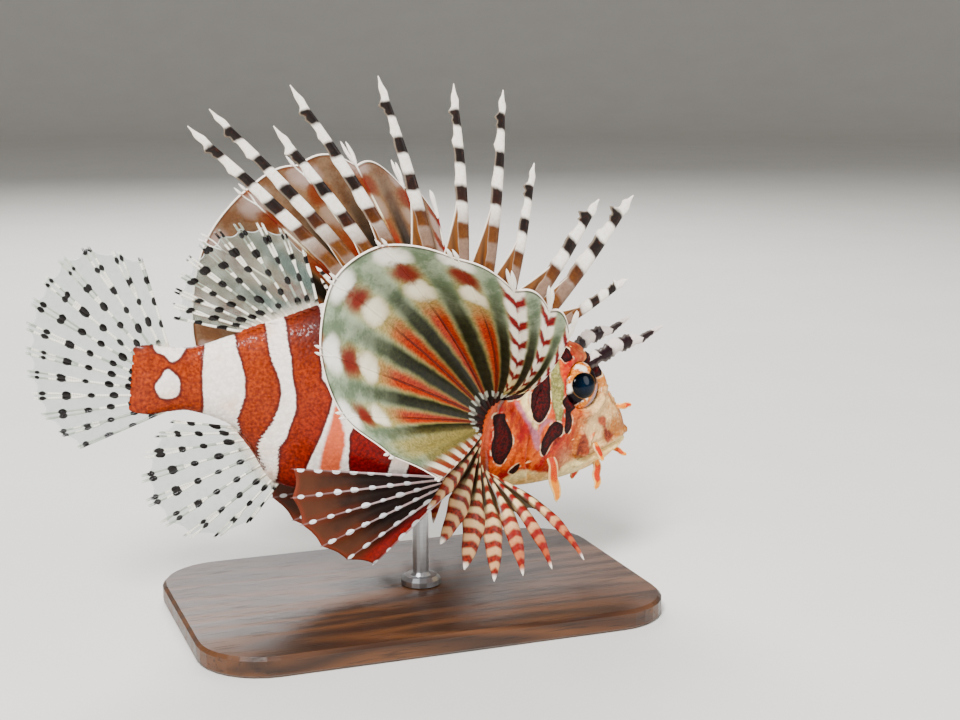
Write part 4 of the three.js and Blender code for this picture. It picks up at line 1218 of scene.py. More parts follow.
def forked_rays(fan, thick, forks, margin, steps=44, free=None, spike=0.0):
    """Strands for all rays. Each fork is a share of the length and a spread in rays."""
    strands = []
    for ray in range(fan.count):
        done = set()
        for code in range(2 ** len(forks)):
            signs = [1 if code >> (len(forks) - 1 - k) & 1 else -1 for k in range(len(forks))]
            share = np.linspace(ROOTED, margin, steps)
            offset = np.zeros(steps)
            for sign, (fork, spread) in zip(signs, forks):
                parted = eased((share - fork) / max(0.25 * (1 - fork), 0.05)) ** 0.7
                offset += sign * spread * parted
            shown = np.ones(steps, bool)
            for depth, (fork, spread) in enumerate(forks):
                if signs[depth:] != [-1] * (len(forks) - depth) and tuple(signs[:depth]) in done:
                    shown &= share > fork - 0.03
            for depth in range(len(forks)):
                done.add(tuple(signs[:depth]))
            place_on = np.clip(ray + offset, 0, fan.count - 1)[shown]
            share = share[shown]
            size = thick * (1 - 0.62 * np.clip(share, 0, 1) ** 1.3)
            numbers = fan.numbers(place_on, share, margin)
            numbers["past"] = (share - 1 + (free[ray] if free else 0.0)) * fan.length[ray]
            size += eased((numbers["past"] + 0.2) / 0.4) * spike * (margin > share)
            size *= np.sqrt(np.clip((margin + 0.002 - share) / 0.04, 0.02, 1))
            numbers["ray"] = np.full(len(share), float(ray))
            strands.append((fan.point(place_on, share), size, numbers))
    return strands


print("rods have", len(sweep.tree.nodes), "nodes in their tree")

# %% [markdown]
# The soft fins behind the spines, under the tail and at its end are clear as glass. Only
# their rays show, as pale jointed rods with pairs of round black spots. So their skin is
# a very thin sheet that is mostly see-through, and the spots are painted on both.

# %% Finish of the clear fins
SPOT_STEP = 5.4


def clear_fin_finish(name, is_rod):
    f = Finish(name, Coat_Roughness=0.08, IOR=1.38, Specular_IOR_Level=0.5)
    ray, share, run, rim, gap = f.numbers("ray", "share", "run", "rim", "gap")
    own, from_ray = nearest_ray(ray)
    spread = share.rise(0.52, 0.8) * 0.12
    aside = abs(from_ray - spread) * gap
    if is_rod:
        aside = aside * 0.0
    step = run / SPOT_STEP + f.chance(own + 1.0) * 0.9 + f.noise(9, 1, 1) * 0.5
    along_spot = abs(step.fraction() - 0.5) * SPOT_STEP
    wide = f.chance(step.floor() + own * 7.3) * 0.4 + 0.62 - share * 0.28
    roundness = (along_spot * along_spot * 0.6 + aside * aside * 1.1) ** 0.5
    spot = (wide + f.noise(0.8, 2) * 0.2 - roundness).rise(0.02, 0.16) * share.rise(0.04, 0.12)
    joints = (run * 1.9).fraction().rise(0.62, 0.8)
    bright = f.chance(step.floor() + own * 3.1 + 0.5).rise(0.3, 0.5)
    bright = bright * (along_spot - 0.8).rise(0, 0.4)
    white = aside.rise(0.42, 0.2)
    base = share.rise(0.16, 0.0)
    edge = rim.rise(0.32, 0.12)
    streak = f.noise(2.6, 3, 3).rise(0.42, 0.75)
    film = f.mix(streak * 0.6, "7f938c", "b4c0b4")
    rod = f.mix(bright * (1.0 - joints * 0.55), "a2aa9c", "fbf4e6")
    f.colour = f.mix(white, film, rod)
    f.lay(base * 0.8, "e9dccb")
    f.lay(edge * 0.8, "eef0ea")
    f.lay(spot, "0b0707")
    if is_rod:
        alpha = spot.high(0.62 + bright * 0.35).high(base)
    else:
        alpha = (0.2 + streak * 0.1 + base * 0.5).high(spot).high(edge * 0.5)
        alpha = alpha.high(white * (0.25 + bright * 0.45))
    f.bump(f.noise(0.8, 2) * 0.5 + from_ray * 0.6, 0.12)
    return f.wear(Alpha=alpha.low(1.0), Roughness=0.22 + streak * 0.2)


clear_skin = clear_fin_finish("clear_fin_skin", False)
clear_rod = clear_fin_finish("clear_fin_rod", True)
soft_back = fan_from(
    95, 11, lambda s: place(86.4 + 17.8 * s, 0, 0, station(86.4 + 17.8 * s, TOP)),
    lambda s: 108 + 64 * s, lambda s: 14 + 3 * s + 12.5 * np.sin(np.pi * s**0.75))
vent = fan_from(
    98, 9, lambda s: place(92.6 + 12 * s, 0, 0, station(92.6 + 12 * s, BOTTOM) - 0.4),
    lambda s: 238 - 63 * s, lambda s: 12 + 15.5 * np.sin(np.pi * s**0.9) + 3 * s)
tail = fan_from(
    STANDARD_LENGTH, 13,
    lambda s: place(STANDARD_LENGTH - 4 * (2 * s - 1) ** 2, 0, 0, 8.2 - 15.1 * s),
    lambda s: 110 + 97 * s, lambda s: along([22.8, 33.8, 33.2, 30, 27.5, 22], s))
CLEAR_FINS = [
    ("soft_back_fin", "soft_dorsal_fin", soft_back, 0.09, 0.05),
    ("vent_fin", "anal_fin", vent, 0.08, 0.05),
    ("tail_fin", "caudal_fin", tail, 0.05, 0.05),
]
for name, node, fan, free, notch in CLEAR_FINS:
    film = fin_skin(name + "_skin", fan, 0.11, clear_skin, free=free, notch=notch)
    strands = forked_rays(fan, 0.36, [(0.52, 0.12), (0.84, 0.03)], 0.965)
    size = dress(film, "clear_fin", node)
    size += dress(rods(name + "_rays", strands, clear_rod), "clear_fin")
    print(name, size, "triangles")

# %% [markdown]
# The breast fins are what makes this fish. Between the rays lie dark olive bands that
# fade to sage green at the margin. Along each ray runs an orange streak, then a white,
# a dark red and a white blotch, and the front rays carry chevrons. All of it follows the
# numbers of the rays, so it bends and widens with them.

# %% Finish of the breast fins


def breast_finish(name, seed, is_rod, chevrons):
    f = Finish(name, **FLESH)
    ray, share, rim, gap = f.numbers("ray", "share", "rim", "gap")
    soft = (f.noise(3.6, 3, seed) - 0.5) * 0.22
    fine = f.noise(0.6, 3, seed + 4)
    own, off = nearest_ray(ray)
    off = off * (0.0 if is_rod else 1.0)
    luck = f.chance(own + seed) - 0.5
    s = share + soft * 0.35
    side = off + soft * 0.45

    sage = f.mix((f.noise(5, 3, seed + 1) * 0.8 + fine * 0.2).rise(0.38, 0.62), "62705a", "98a48c")
    sage = f.mix(f.noise(1.1, 3, seed + 2).rise(0.55, 0.75) * 0.35, sage, "4c5844")
    f.colour = f.mix(share.rise(0.85, 0.3) * 0.8, sage, "6e6a34")
    dark = (side - 0.15 - share * 0.27).rise(-0.1, 0.1) * (share + soft * 0.6).rise(1.0, 0.55)
    f.lay(dark, f.flecks(fine, "0c0d07", "23260f", 0.35, 0.7))
    flank = side.rise(0.4, 0.16) * share.rise(0.98, 0.75) * (1.0 - dark)
    f.lay(flank * 0.75, f.flecks(fine, "8f8146", "baa970"))
    back_rays = (ray + soft).rise(chevrons - 0.65, chevrons - 0.25) * ray.rise(7.75, 7.35)
    streak = (side - share * 0.13).rise(0.24, 0.06) * s.rise(0.75, 0.56) * share.rise(0.06, 0.12)
    orange = f.flecks(fine, "7c1e0c", "b04424")
    f.lay(streak * back_rays, orange)
    shift = luck * 0.05

    def blotch(centre, half, width):
        across = side / width
        lengthways = (s - centre - shift) / half
        return (across * across + lengthways * lengthways).rise(1.9, 0.1) * back_rays

    f.lay(blotch(0.972, 0.022, 0.24) * 0.7, "a2502c")
    f.lay(blotch(0.745, 0.046, 0.25) * 0.95, "f3ead2")
    f.lay(blotch(0.915, 0.038, 0.27), "faf5ea")
    f.lay(blotch(0.832, 0.046, 0.25), f.mix(fine, "521612", "7c2e24"))
    wave = ((s - side * 0.19) * 7.9 + 0.35 + luck * 0.3).fraction()
    band = wave.rise(0.38, 0.62) * wave.rise(1.0, 0.82)
    chevron = f.mix(band, f.mix(share.rise(0.25, 0.5), "e9d8a6", "f8f1e2"),
                    f.flecks(fine, "5a1016", "8c2626", 0.35, 0.7))
    front = (ray + soft).rise(chevrons - 0.25, chevrons - 0.65) * side.rise(0.34, 0.2)
    f.lay(front * share.rise(0.14, 0.2), chevron)
    rear = ray.rise(7.3, 8.1) * share.rise(0.95, 0.7)
    f.lay(rear * 0.75, f.flecks(fine, "5c5430", "8a7c4c"))
    first = (ray + soft * 1.6).rise(8.45, 8.85)
    lowest = abs(((share + (ray - 8.5) * 0.06) * 7.6).fraction() - 0.5).rise(0.16, 0.32)
    f.lay(first * 0.9, f.mix(lowest, "efe2cc", "742018"))
    root = share.rise(0.13, 0.075)
    f.lay(root, "0e0a0a")
    scallop = (abs(share - 0.1 - side * 0.06) - 0.012).rise(0.016, 0.004) * side.rise(0.4, 0.3)
    f.lay(scallop * 0.9, "ccd2c4")
    core = (off * gap).rise(0.26, 0.12) * share.rise(0.7, 0.58) * back_rays
    f.lay(core * 0.7, "30100c")
    f.lay(rim.rise(1.2, 0.7) * 0.8, "1d100c")
    f.lay(rim.rise(0.48, 0.32), "f7e9dc")
    inner = f.mix(dark, f.mix(fine, "4a2212", "6e3820"), "150c06")
    inner = f.mix(streak * 0.8, inner, "74200c")
    f.lay(f.number("inside") * rim.rise(0.5, 0.8) * 0.8, inner)
    if is_rod:
        f.lay(f.number("past").rise(-0.4, 0.1), "f8f1e8")
    grain = f.noise(0.35, 2, 3)
    ribs = (f.number("run") * 1.6).sine() * 0.15
    f.bump(grain * 0.35 + off * 0.9 + ribs, 0.16)
    return f.wear(Roughness=fine * 0.2 + 0.46, Coat_Weight=fine * 0.12 + 0.02)


BREAST_AT, BREAST_CURL, BREAST_TOP, BREAST_SPLIT, BREAST_BOTTOM = 46.6, 3.2, 4.5, -5.4, -15.0
BREAST_BOW = 4.0
FAN_RAYS, BLADE_RAYS = 10, 7
BREAST_FINS = {
    "right": {
        "side": RIGHT, "seed": 10.0, "chevrons": 3.0,
        "lean": [106, 130, 148, 174, 190], "flare": [0.85, 0.72, 0.465, 0.57, 0.82],
        "length": [51, 61, 70.5, 79, 75, 63, 51],
        "ahead": [3.5, 8, 8, 2, 0, 0, 0], "up": [-10.5, -8.5, -2, 0, 0, 0, 0],
        "low_lean": [222, 249, 276, 303, 328], "low_flare": [0.53, 0.53],
        "low_length": [27, 31, 32, 30.5, 35.5], "low_ahead": [0, 1, 4], "low_up": [0, 0, 3.5],
    },
    "left": {
        "side": LEFT, "seed": 20.0, "chevrons": 1.0,
        "lean": [101, 126, 151, 176, 200], "flare": [0.4, 0.19, 0.2, 0.32, 0.46],
        "length": [50, 70, 76.5, 68, 52],
        "ahead": [5, 6, 3, 0, 0, 0, 0], "up": [-3, -2, 0, 0, 0, 0, 0],
        "low_lean": [224, 326], "low_flare": [0.5, 0.5],
        "low_length": [30, 32, 32, 32, 34], "low_ahead": [0, 1, 4], "low_up": [0, 0, 4],
    },
}


def breast_fan(spec, count, top, bottom, low=""):
    side = spec["side"]
    share = np.linspace(0, 1, count)
    up = top + (bottom - top) * share
    curl = np.clip((up - BREAST_SPLIT) / (BREAST_TOP - BREAST_SPLIT), 0, 1) ** 2
    root = on_skin(BREAST_AT - BREAST_CURL * curl, up, side)
    lean = along(spec[low + "lean"], share) * RAD
    flare = along(spec[low + "flare"], share)
    flat = np.sqrt(1 - flare**2)
    direction = heading(46, flat * np.cos(lean), side * flare, flat * np.sin(lean))
    bow = (heading(46, 0, side, 0.3) * BREAST_BOW
           + heading(46, 1, 0, 0) * along(spec[low + "ahead"], share)[:, None]
           + heading(46, 0, 0, 1) * along(spec[low + "up"], share)[:, None])
    return Fan(root, direction, along(spec[low + "length"], share), bow)


print("a breast fin has", FAN_RAYS, "webbed rays and", BLADE_RAYS, "free ones")

# %% [markdown]
# The free lower rays are fleshy blades, barred in cream and red-brown. They join in a
# dark web near their roots. Each blade is a closed sheet with its own outline, thick
# along its middle and thin at its edges.

# %% Fans and blades of the breast
BLADE_WIDTHS = [3.8, 6.6, 7.0, 5.8, 4.4, 3.2, 2.5]
BLADE_ROWS, BLADE_COLUMNS = 46, 9
BLADE_FOOT = 1.7
FAN_FREE = [0.14, 0.12, 0.1, 0.05, 0.035, 0.03, 0.03, 0.035, 0.04, 0.03]
FAN_NOTCH = [-0.06, -0.055, -0.045, -0.02, 0, 0, 0, 0, 0.02, 0.02]


def blade_finish(name, seed):
    f = Finish(name, **HORN)
    ray, share, run, off = f.numbers("ray", "share", "run", "off")
    fine = f.noise(0.6, 3, seed)
    own, between = nearest_ray(ray)
    wave = run / 3.4 - abs(off) * 0.22 + f.noise(4, 2, seed + 1) * 0.35
    wave = (wave + f.chance(own + seed)).fraction()
    band = wave.rise(0.27, 0.52) * wave.rise(1.0, 0.8)
    redder = (ray + (fine - 0.5) * 0.4).rise(2.4, 4.6)
    worn = (share + (fine - 0.5) * 0.2).rise(0.3, 0.85)
    cream = f.mix(worn * (0.45 + redder * 0.5), "e6cb9c", "9a4228")
    brown = f.flecks(fine, "4a180e", "8a2c18", 0.35, 0.65)
    brown = f.mix(redder * 0.75, brown, "780c0e")
    f.colour = f.mix(band, cream, brown)
    base = (share.rise(0.7, 0.35) * abs(off).rise(0.3, 0.7)).high(between.rise(0.06, 0.14))
    f.lay(base, f.mix(fine, "140f08", "3c3018"))
    f.lay(share.rise(0.93, 0.98), "f4ebe0")
    f.lay(abs(off).rise(0.86, 0.97) * 0.5, "5a1810")
    f.bump(fine * 0.4 + (run * 2.4).sine() * 0.12, 0.18)
    return f.wear(Roughness=fine * 0.2 + 0.44, Coat_Weight=fine * 0.15 + 0.03)


def blade(fan, ray, width):
    """One fleshy ray: a grid across its width and along its length."""
    share = np.linspace(-0.06, 1, BLADE_ROWS)[:, None]
    off = np.linspace(-1, 1, BLADE_COLUMNS)[None, :]
    swell = np.clip(share, 0, 1)
    outline = BLADE_FOOT + (width - BLADE_FOOT) * eased((swell - 0.2) / 0.42)
    outline = outline * np.clip((1.004 - swell) / 0.36, 0, 1) ** 0.72
    outline = np.maximum(outline, 0.12) * (1 + 0.07 * np.sin(share * 21 + ray))
    middle = fan.point(ray + 0 * share, share)
    ahead = np.gradient(middle, axis=0)
    across = fan.point(np.minimum(ray + 0.05, fan.count - 1) + 0 * share, share) - fan.point(
        np.maximum(ray - 0.05, 0) + 0 * share, share)
    across -= ahead * (np.sum(across * ahead, -1) / np.sum(ahead * ahead, -1))[..., None]
    across = unit(across)
    face = unit(np.cross(ahead, across))
    cup = 0.12 * outline * (1 - off**2)
    grid = middle + across * (off * outline / 2)[..., None] + face * cup[..., None]
    half = 0.16 + 0.42 * (1 - off**2) * (1 - 0.6 * swell)
    half = half * np.sqrt(np.clip((1.02 - swell) / 0.1, 0, 1))
    numbers = fan.numbers(ray + 0 * share * off, share + 0 * off, 1.0)
    numbers["off"] = off + 0 * share
    return grid, np.maximum(half, 0.05), numbers


size = 0
for name, spec in BREAST_FINS.items():
    fan = breast_fan(spec, FAN_RAYS, BREAST_TOP, BREAST_SPLIT)
    sail_paint, ray_paint = (
        breast_finish(f"breast_{part}_{name}", spec["seed"], part == "rays", spec["chevrons"])
        for part in ("fan", "rays"))
    sail = fin_skin(f"breast_fan_{name}", fan, 0.16, sail_paint, free=FAN_FREE, notch=FAN_NOTCH,
                    billow=0.9 * spec["side"], columns=12, rows=90)
    strands = forked_rays(fan, 0.5, [(0.9, 0.05)], 0.995, steps=90, free=FAN_FREE, spike=0.3)
    size += dress(sail, "breast_fin", f"pectoral_fan_{name}")
    size += dress(rods(f"breast_rays_{name}", strands, ray_paint), "breast_fin")

    low = breast_fan(spec, BLADE_RAYS, BREAST_SPLIT - 1.9, BREAST_BOTTOM, "low_")
    barred = blade_finish(f"breast_blades_{name}", spec["seed"])
    blades = Parts()
    for ray, width in enumerate(BLADE_WIDTHS):
        blades.add(*thin_sheet(*blade(low, ray, width)))
    blades = blades.piece(f"breast_blades_{name}", barred)
    size += dress(blades, "breast_fin", f"pectoral_lower_{name}")
    low_web = fin_skin(f"breast_low_web_{name}", low, 0.16, barred, free=0.42, notch=0.1)
    size += dress(low_web, "breast_fin")
print("breast fins have", size, "triangles")

# %% [markdown]
# The belly fins are dark brown sails with a red front edge. Their rays show as thin pale
# lines with bright dots. They share the rods and the skin of the other fins.

# %% Belly fins
DOT_STEP = 4.7


def belly_finish(name, is_rod):
    f = Finish(name, Coat_Roughness=0.12, Specular_IOR_Level=0.2)
    ray, share, run, rim = f.numbers("ray", "share", "run", "rim")
    fine = f.noise(0.7, 3, 6)
    own, off = nearest_ray(ray)
    off = off * (0.0 if is_rod else 1.0)
    paler = (share + (f.noise(5, 3, 4) - 0.5) * 0.5).rise(0.45, 0.95)
    brown = f.mix(paler, "170b07", "4c2a1a")
    red = f.flecks(fine, "6e0e08", "9a2216")
    front = (ray + (fine - 0.5) * 0.4).rise(0.95, 0.3)
    f.colour = f.mix(front * 0.9, brown, red)
    beside = (off + (fine - 0.5) * 0.2).rise(0.3, 0.12) * share.rise(0.45, 0.75)
    f.lay(beside * 0.4, "5e2214")
    f.lay(rim.rise(1.6, 0.3) * 0.5, "743022")
    aside = off * f.number("gap")
    dots = abs((run / DOT_STEP + f.chance(own + 3.0)).fraction() - 0.5) * DOT_STEP
    bright = (dots * dots * 0.35 + aside * aside) ** 0.5
    thread = aside.rise(0.3, 0.14)
    f.lay(thread * (0.15 + share.rise(0.8, 0.3) * 0.75), "dcc4c4")
    wide = f.chance((run / DOT_STEP).floor() + own * 5.0) * 0.35 + 0.5
    f.lay((wide - bright).rise(0.0, 0.14) * share.rise(0.1, 0.18), "f2f2f4")
    f.bump(fine * 0.4 + off * 0.9, 0.15)
    return f.wear(Roughness=fine * 0.2 + 0.44, Coat_Weight=0.04 + fine * 0.12)


belly_skin, belly_rod = belly_finish("belly_fin_skin", False), belly_finish("belly_fin_ray", True)
for name, side in SIDES.items():
    fan = fan_from(
        52, 6, lambda s: on_skin(48 + 6.6 * s, -21.8 + 3.4 * s, side), lambda s: 226 - 46 * s,
        lambda s: 28 + 12.5 * np.sin(0.62 * np.pi * s), side * 0.14)
    sail = fin_skin(f"belly_fin_{name}", fan, 0.2, belly_skin, free=0.03, notch=0.025,
                    billow=0.7 * side, columns=10)
    strands = forked_rays(fan, 0.34, [], 0.985)
    size = dress(sail, "belly_fin", f"pelvic_fin_{name}")
    size += dress(rods(f"belly_rays_{name}", strands, belly_rod), "belly_fin")
    print(name, "belly fin", size, "triangles")

# %% [markdown]
# The thirteen spines of the back are stiff and pointed, each in a sheath of skin that
# is wider behind than in front and ends in a white leaf. They are barred dark and white,
# and a brown web runs from each down to the foot of the next. A spine is lofted from
# closed rings, because its section changes along its whole length.

# %% Spines of the back
BACK_SPINES = [
    (27, 43, 26, 0.6), (30.6, 64, 42, 0.6), (35, 68, 36, 0.6), (40, 92, 37, 0.6),
    (46, 97, 52, 0.6), (51.5, 104, 52, 0.6), (57.5, 116, 55, 0.6), (63, 130, 59, 0.6),
    (67.3, 134, 51, 0.6), (71.2, 139, 61, 0.6), (75, 141.5, 59, 0.3), (78.8, 140, 12, 0.3),
    (82.2, 127, 7, 0),
]
LONG_SPINE, SHORT_SPINE = 40, 20
WEB_HALF = 0.13
LEAF_SWELLS = [(2.6, 1.1, 0.35), (6.6, 0.8, 1.3), (8.6, 0.6, 0.55), (13.5, 0.7, 0.4)]
spine_at, spine_lean, spine_length, web_high = np.array(BACK_SPINES).T
spine_way = heading(spine_at, np.cos(spine_lean * RAD), 0, np.sin(spine_lean * RAD))
spines = Fan(
    place(spine_at, 0, 0, station(spine_at, TOP)), spine_way, spine_length,
    heading(spine_at, 1, 0, 0.4) * spine_length[:, None] * 0.04)


def spine_rings(index):
    """Rings round one spine, with how far each point lies behind the spine's core."""
    rows, sides = 84, 14
    length = spine_length[index]
    long = min(length / LONG_SPINE, 1.0)
    share = 1 - (1 + 3 / length) * (1 - np.linspace(0, 1, rows)) ** 1.3
    s = np.clip(share, 0, 1)
    middle = spines.point(index, share)
    ahead = unit(np.gradient(middle, axis=0))
    fore, left, _ = directions(np.full(rows, spine_at[index]))
    behind = np.cross(left, ahead)
    behind *= np.sign(np.sum(behind * -fore, -1, keepdims=True))
    core = (0.62 * (1 - s**1.7) + 0.1) * (0.45 + 0.55 * long)
    broad = 1.55 if index < 3 else 1.0
    rest = (1 - s) * length / long
    leaf = sum(size * hump(rest - mark, width) for mark, width, size in LEAF_SWELLS)
    ripple = 0.13 * np.sin(s * 30 + index) + 0.08 * np.sin(s * 67 + 2 * index)
    rear = (0.6 + 0.95 * arched(s * 0.9 + 0.1) + leaf + ripple * (s < 0.97)) * broad * long
    front = (0.28 + 0.22 * np.sin(np.pi * s) + 0.3 * hump(rest - 4, 1.4)) * broad * long
    close = np.clip((1.0 - s) / 0.075, 0, 1) ** 0.75
    rear, front = rear * close, front * close
    turn = 2 * np.pi * np.arange(sides) / sides
    away = np.cos(turn)[None, :]
    reach = np.where(away > 0, core[:, None] + rear[:, None], core[:, None] + front[:, None])
    flat = away * reach
    thin = core[:, None] * np.clip(1 - (np.abs(flat) / reach) ** 1.2, 0, 1) ** 0.9
    thin = thin + 0.1 * np.abs(np.sin(turn))
    across = np.sign(np.sin(turn))[None, :] * thin
    rings = middle[:, None] + behind[:, None] * flat[..., None] + left[:, None] * across[..., None]
    share, rest = share[:, None] + 0 * flat, rest[:, None] + 0 * flat
    return rings, {"share": share, "run": share * length, "off": flat / reach,
                   "ray": index + 0 * flat, "rest": rest}


def spine_web(index):
    """The web from one spine down to the foot of the next, as a sheet and its numbers."""
    rows, columns = 26, 16
    follower = spine_length[index + 1]
    low = min(0.1, 4 / follower) if follower > SHORT_SPINE else 0.5
    u = np.linspace(0, 1, columns)[None, :]
    v = np.linspace(-0.08, 1, rows)[:, None]
    lift = v * (1 - 0.08 * np.sin(np.pi * u))
    one, two = spines.point(index, lift * web_high[index]), spines.point(index + 1, lift * low)
    grid = one * (1 - u)[..., None] + two * u[..., None]
    return grid, WEB_HALF, {"share": v + 0 * u, "run": v * 12 + 0 * u, "off": u + 0 * v,
                            "ray": index + u + 0 * v}


f = Finish("barred_spines", **HORN)
ray, share, run, off, rest = f.numbers("ray", "share", "run", "off", "rest")
own, _ = nearest_ray(ray)
fine = f.noise(0.7, 3, 2)
rest = rest + (f.chance(own + 4.0) - 0.5) * 2.0 + off * 0.4 + (f.noise(3, 2) - 0.5) * 1.6
wave = ((rest - 1.6) / 9.2).fraction()
band = wave.rise(0.42, 0.56) * wave.rise(1.0, 0.88) * rest.rise(5.5, 6.5)
white = f.flecks(fine, "e9dfd2", "f8f3ea")
dark = f.mix(share.rise(0.2, 0.6), "3c180c", "0e0604")
dark = f.mix(fine.rise(0.5, 0.85) * 0.25, dark, "6a3420")
f.colour = f.mix(band, white, dark)
foot = share.rise(0.48, 0.28)
f.lay(foot * 0.9, f.mix(fine, "381a0a", "704624"))
f.lay(off.rise(0.7, 0.95) * share.rise(0.1, 0.3) * 0.3, "c9b8a4")
f.bump(fine * 0.4 + (run * 2.2).sine() * 0.1, 0.15)
spine_paint = f.wear(Roughness=fine * 0.2 + 0.42, Coat_Weight=fine * 0.15 + 0.03)

f = Finish("brown_web", **HORN)
share, off = f.numbers("share", "off")
fine = f.noise(0.8, 3, 8)
streak = (off * 24 + f.noise(3, 2) * 1.5).sine() * 0.5 + 0.5
f.colour = f.mix(streak * 0.7, "280f04", "70401c")
f.lay(share.rise(0.3, 1.0) * 0.5, "805634")
edge = share.rise(0.9, 0.99)
f.lay(edge, "f0e4d4")
f.bump(streak * 0.6 + fine * 0.4, 0.2)
alpha = (1.0 - share.rise(0.5, 1.0) * 0.12).high(edge)
web_paint = f.wear(Roughness=fine * 0.25 + 0.36, Alpha=alpha)

sheaths, webs = Parts(), Parts()
for index in range(spines.count):
    sheaths.add(*capped(*spine_rings(index)))
    if web_high[index]:
        webs.add(*thin_sheet(*spine_web(index)))
size = dress(sheaths.piece("back_spines", spine_paint), "back_spines", "dorsal_fin_spines")
size += dress(webs.piece("back_spine_webs", web_paint), "back_spines")
print("back spines have", size, "triangles")

# %% [markdown]
# A fish's eye is a dark lens that stands a little proud of a metallic ring, under a
# clear and very glossy skin. Here the ball is one lathed form whose middle bulges, and
# the ring, its blotches and the dark bar across it are painted by distance and turn.

# %% Eyes
PUPIL = 0.5
PUPIL_BACK = 0.15
EYE_SIDES = 72


def eye_form(side):
    """The ball as rings from its front pole, with each point's place on its face."""
    outward_way = heading(EYE_AT, 0.24, side, 0.18)
    centre = on_skin(EYE_AT, EYE_UP, side) + outward_way * (EYE_PROUD - EYE_BULGE)
    up = heading(EYE_AT, 0, 0, 1)
    up = unit(up - outward_way * (up @ outward_way))
    ahead = np.cross(up, outward_way) * -side
    lean = np.radians(np.concatenate([np.linspace(2, 70, 40), np.linspace(73, 176, 22)]))[:, None]
    turn = (2 * np.pi * np.arange(EYE_SIDES) / EYE_SIDES)[None, :]
    radius = EYE_RADIUS * np.sin(lean)
    rise = EYE_BULGE * np.cos(lean)
    reach = np.sin(lean)
    near = np.hypot((reach * np.cos(turn) + PUPIL_BACK) * 0.88, reach * np.sin(turn))
    groove = 0.25 * hump(near, 0.36) - 0.22 * hump(near - PUPIL, 0.05)
    rise = rise - 0.28 + groove * (np.cos(lean) > 0)
    rings = (centre + outward_way * rise[..., None] + ahead * (radius * np.cos(turn))[..., None]
             + up * (radius * np.sin(turn))[..., None])
    back = np.cos(lean) < 0
    numbers = {"reach": reach + 0 * turn + back, "near": near + back,
               "aheadness": reach * np.cos(turn), "upness": reach * np.sin(turn)}
    return rings, numbers


f = Finish("wet_eye", Coat_Roughness=0.03, Coat_Weight=0.16, Specular_IOR_Level=0.05)
near, reach, aheadness, upness = f.numbers("near", "reach", "aheadness", "upness")
fibre = f.noise(0.5, 3, 2)
cloud = f.noise(2.2, 3, 5)
ring_gold = f.flecks(fibre, "a2471c", "e59a52")
ring = f.mix(cloud.rise(0.5, 0.62), ring_gold, "f3e7d6")
ring = f.mix((aheadness * 0.9 - upness * 0.25).rise(0.3, 0.62) * 0.85, ring, "7d8da6")
bar = abs(aheadness * 0.78 - upness * 0.62 + (cloud - 0.5) * 0.25)
ring = f.mix(bar.rise(0.36, 0.24), ring, "0c0508")
f.colour = f.mix(near.rise(PUPIL + 0.07, PUPIL + 0.03) * 0.3, ring, "8c6238")
pupil = f.mix(near.rise(0.1, PUPIL), "03101f", "010204")
f.lay(near.rise(PUPIL + 0.03, PUPIL), pupil)
# The ball's rim and its hidden back are painted dark, as painted shade where the ball sinks into
# its socket.
f.lay(reach.rise(0.9, 1.0), "2a1210")
f.bump(fibre * near.rise(PUPIL, PUPIL + 0.1), 0.08)
eye_paint = f.wear(Roughness=fibre * 0.15 + 0.08)

for name, side in SIDES.items():
    ball = make_piece(f"eye_ball_{name}", *capped(*eye_form(side)), eye_paint)
    print("eye", name, dress(ball, "eye", f"eye_{name}"), "triangles")

# %% [markdown]
# A leafy tentacle stands over each eye, and soft leaves of skin hang from the cheek, the
# snout and the jaw. Each is a thin leaf with lobes along its sides. One helper draws a
# leaf along any line of points, so the same form serves for all of them.

# %% Tentacles and leaves
LEAF_COLUMNS, LEAF_CURL = 9, 0.25
TENTACLE_AT, TENTACLE_UP = 17.0, 15.2
TENTACLE_STEPS = [(-1.5, -1, -1.5), (2, 1, 2.5), (7, 1.5, 6.5), (12, 2, 9), (17.5, 2.5, 13.5)]


def smooth_line(corners, count):
    corners = np.asarray(corners, float)
    ends = np.concatenate([
        2 * corners[:1] - corners[1:2], corners, 2 * corners[-1:] - corners[-2:-1]])
    share = np.linspace(0, len(corners) - 1, count)
    i = np.minimum(share.astype(int), len(corners) - 2)
    return through(*(ends[i + k] for k in range(4)), (share - i)[:, None])


def leaf(line, flat, width, lobes, seed, thickness, pinch=0.35, slim=0.0, ragged=0.0):
    """A lobed leaf along a line: a grid with its thickness and its paint numbers."""
    share = np.linspace(0, 1, len(line))
    run = unit(np.gradient(line, axis=0))
    across = unit(flat - run * np.sum(flat * run, -1, keepdims=True))
    face = np.cross(run, across)
    off = np.linspace(-1, 1, LEAF_COLUMNS)
    body = (0.45 + 0.55 * arched(share * 0.85 + 0.12)) * (1 - slim * eased((share - 0.5) / 0.35))
    close = np.sqrt(np.clip((1.0 - share) / 0.1, 0.004, 1))
    sides = []
    for way in (-1, 1):
        cut = np.abs(np.sin(np.pi * (share * lobes + 0.3 * way + seed)))
        fringe = 1 + ragged * np.sin(share * 83 + 2 * way + seed) * np.sin(share * 31)
        sides.append(width * body * close * (1 - pinch + pinch * cut) * fringe / 2)
    reach = np.where(off[None, :] < 0, sides[0][:, None], sides[1][:, None]) * np.abs(off)[None, :]
    bend = LEAF_CURL * reach * np.sin(share * 9 + seed)[:, None]
    grid = (line[:, None] + across[:, None] * (reach * np.sign(off))[..., None]
            + face[:, None] * bend[..., None])
    half = thickness * (0.25 + 0.75 * (1 - off**2))[None, :] * (1 - 0.5 * share)[:, None] / 2
    numbers = {"share": share[:, None] + 0 * off, "off": off[None, :] + 0 * share[:, None],
               "ray": np.full(reach.shape, seed)}
    return grid, half * close[:, None] ** 0.5 + 0.03, numbers


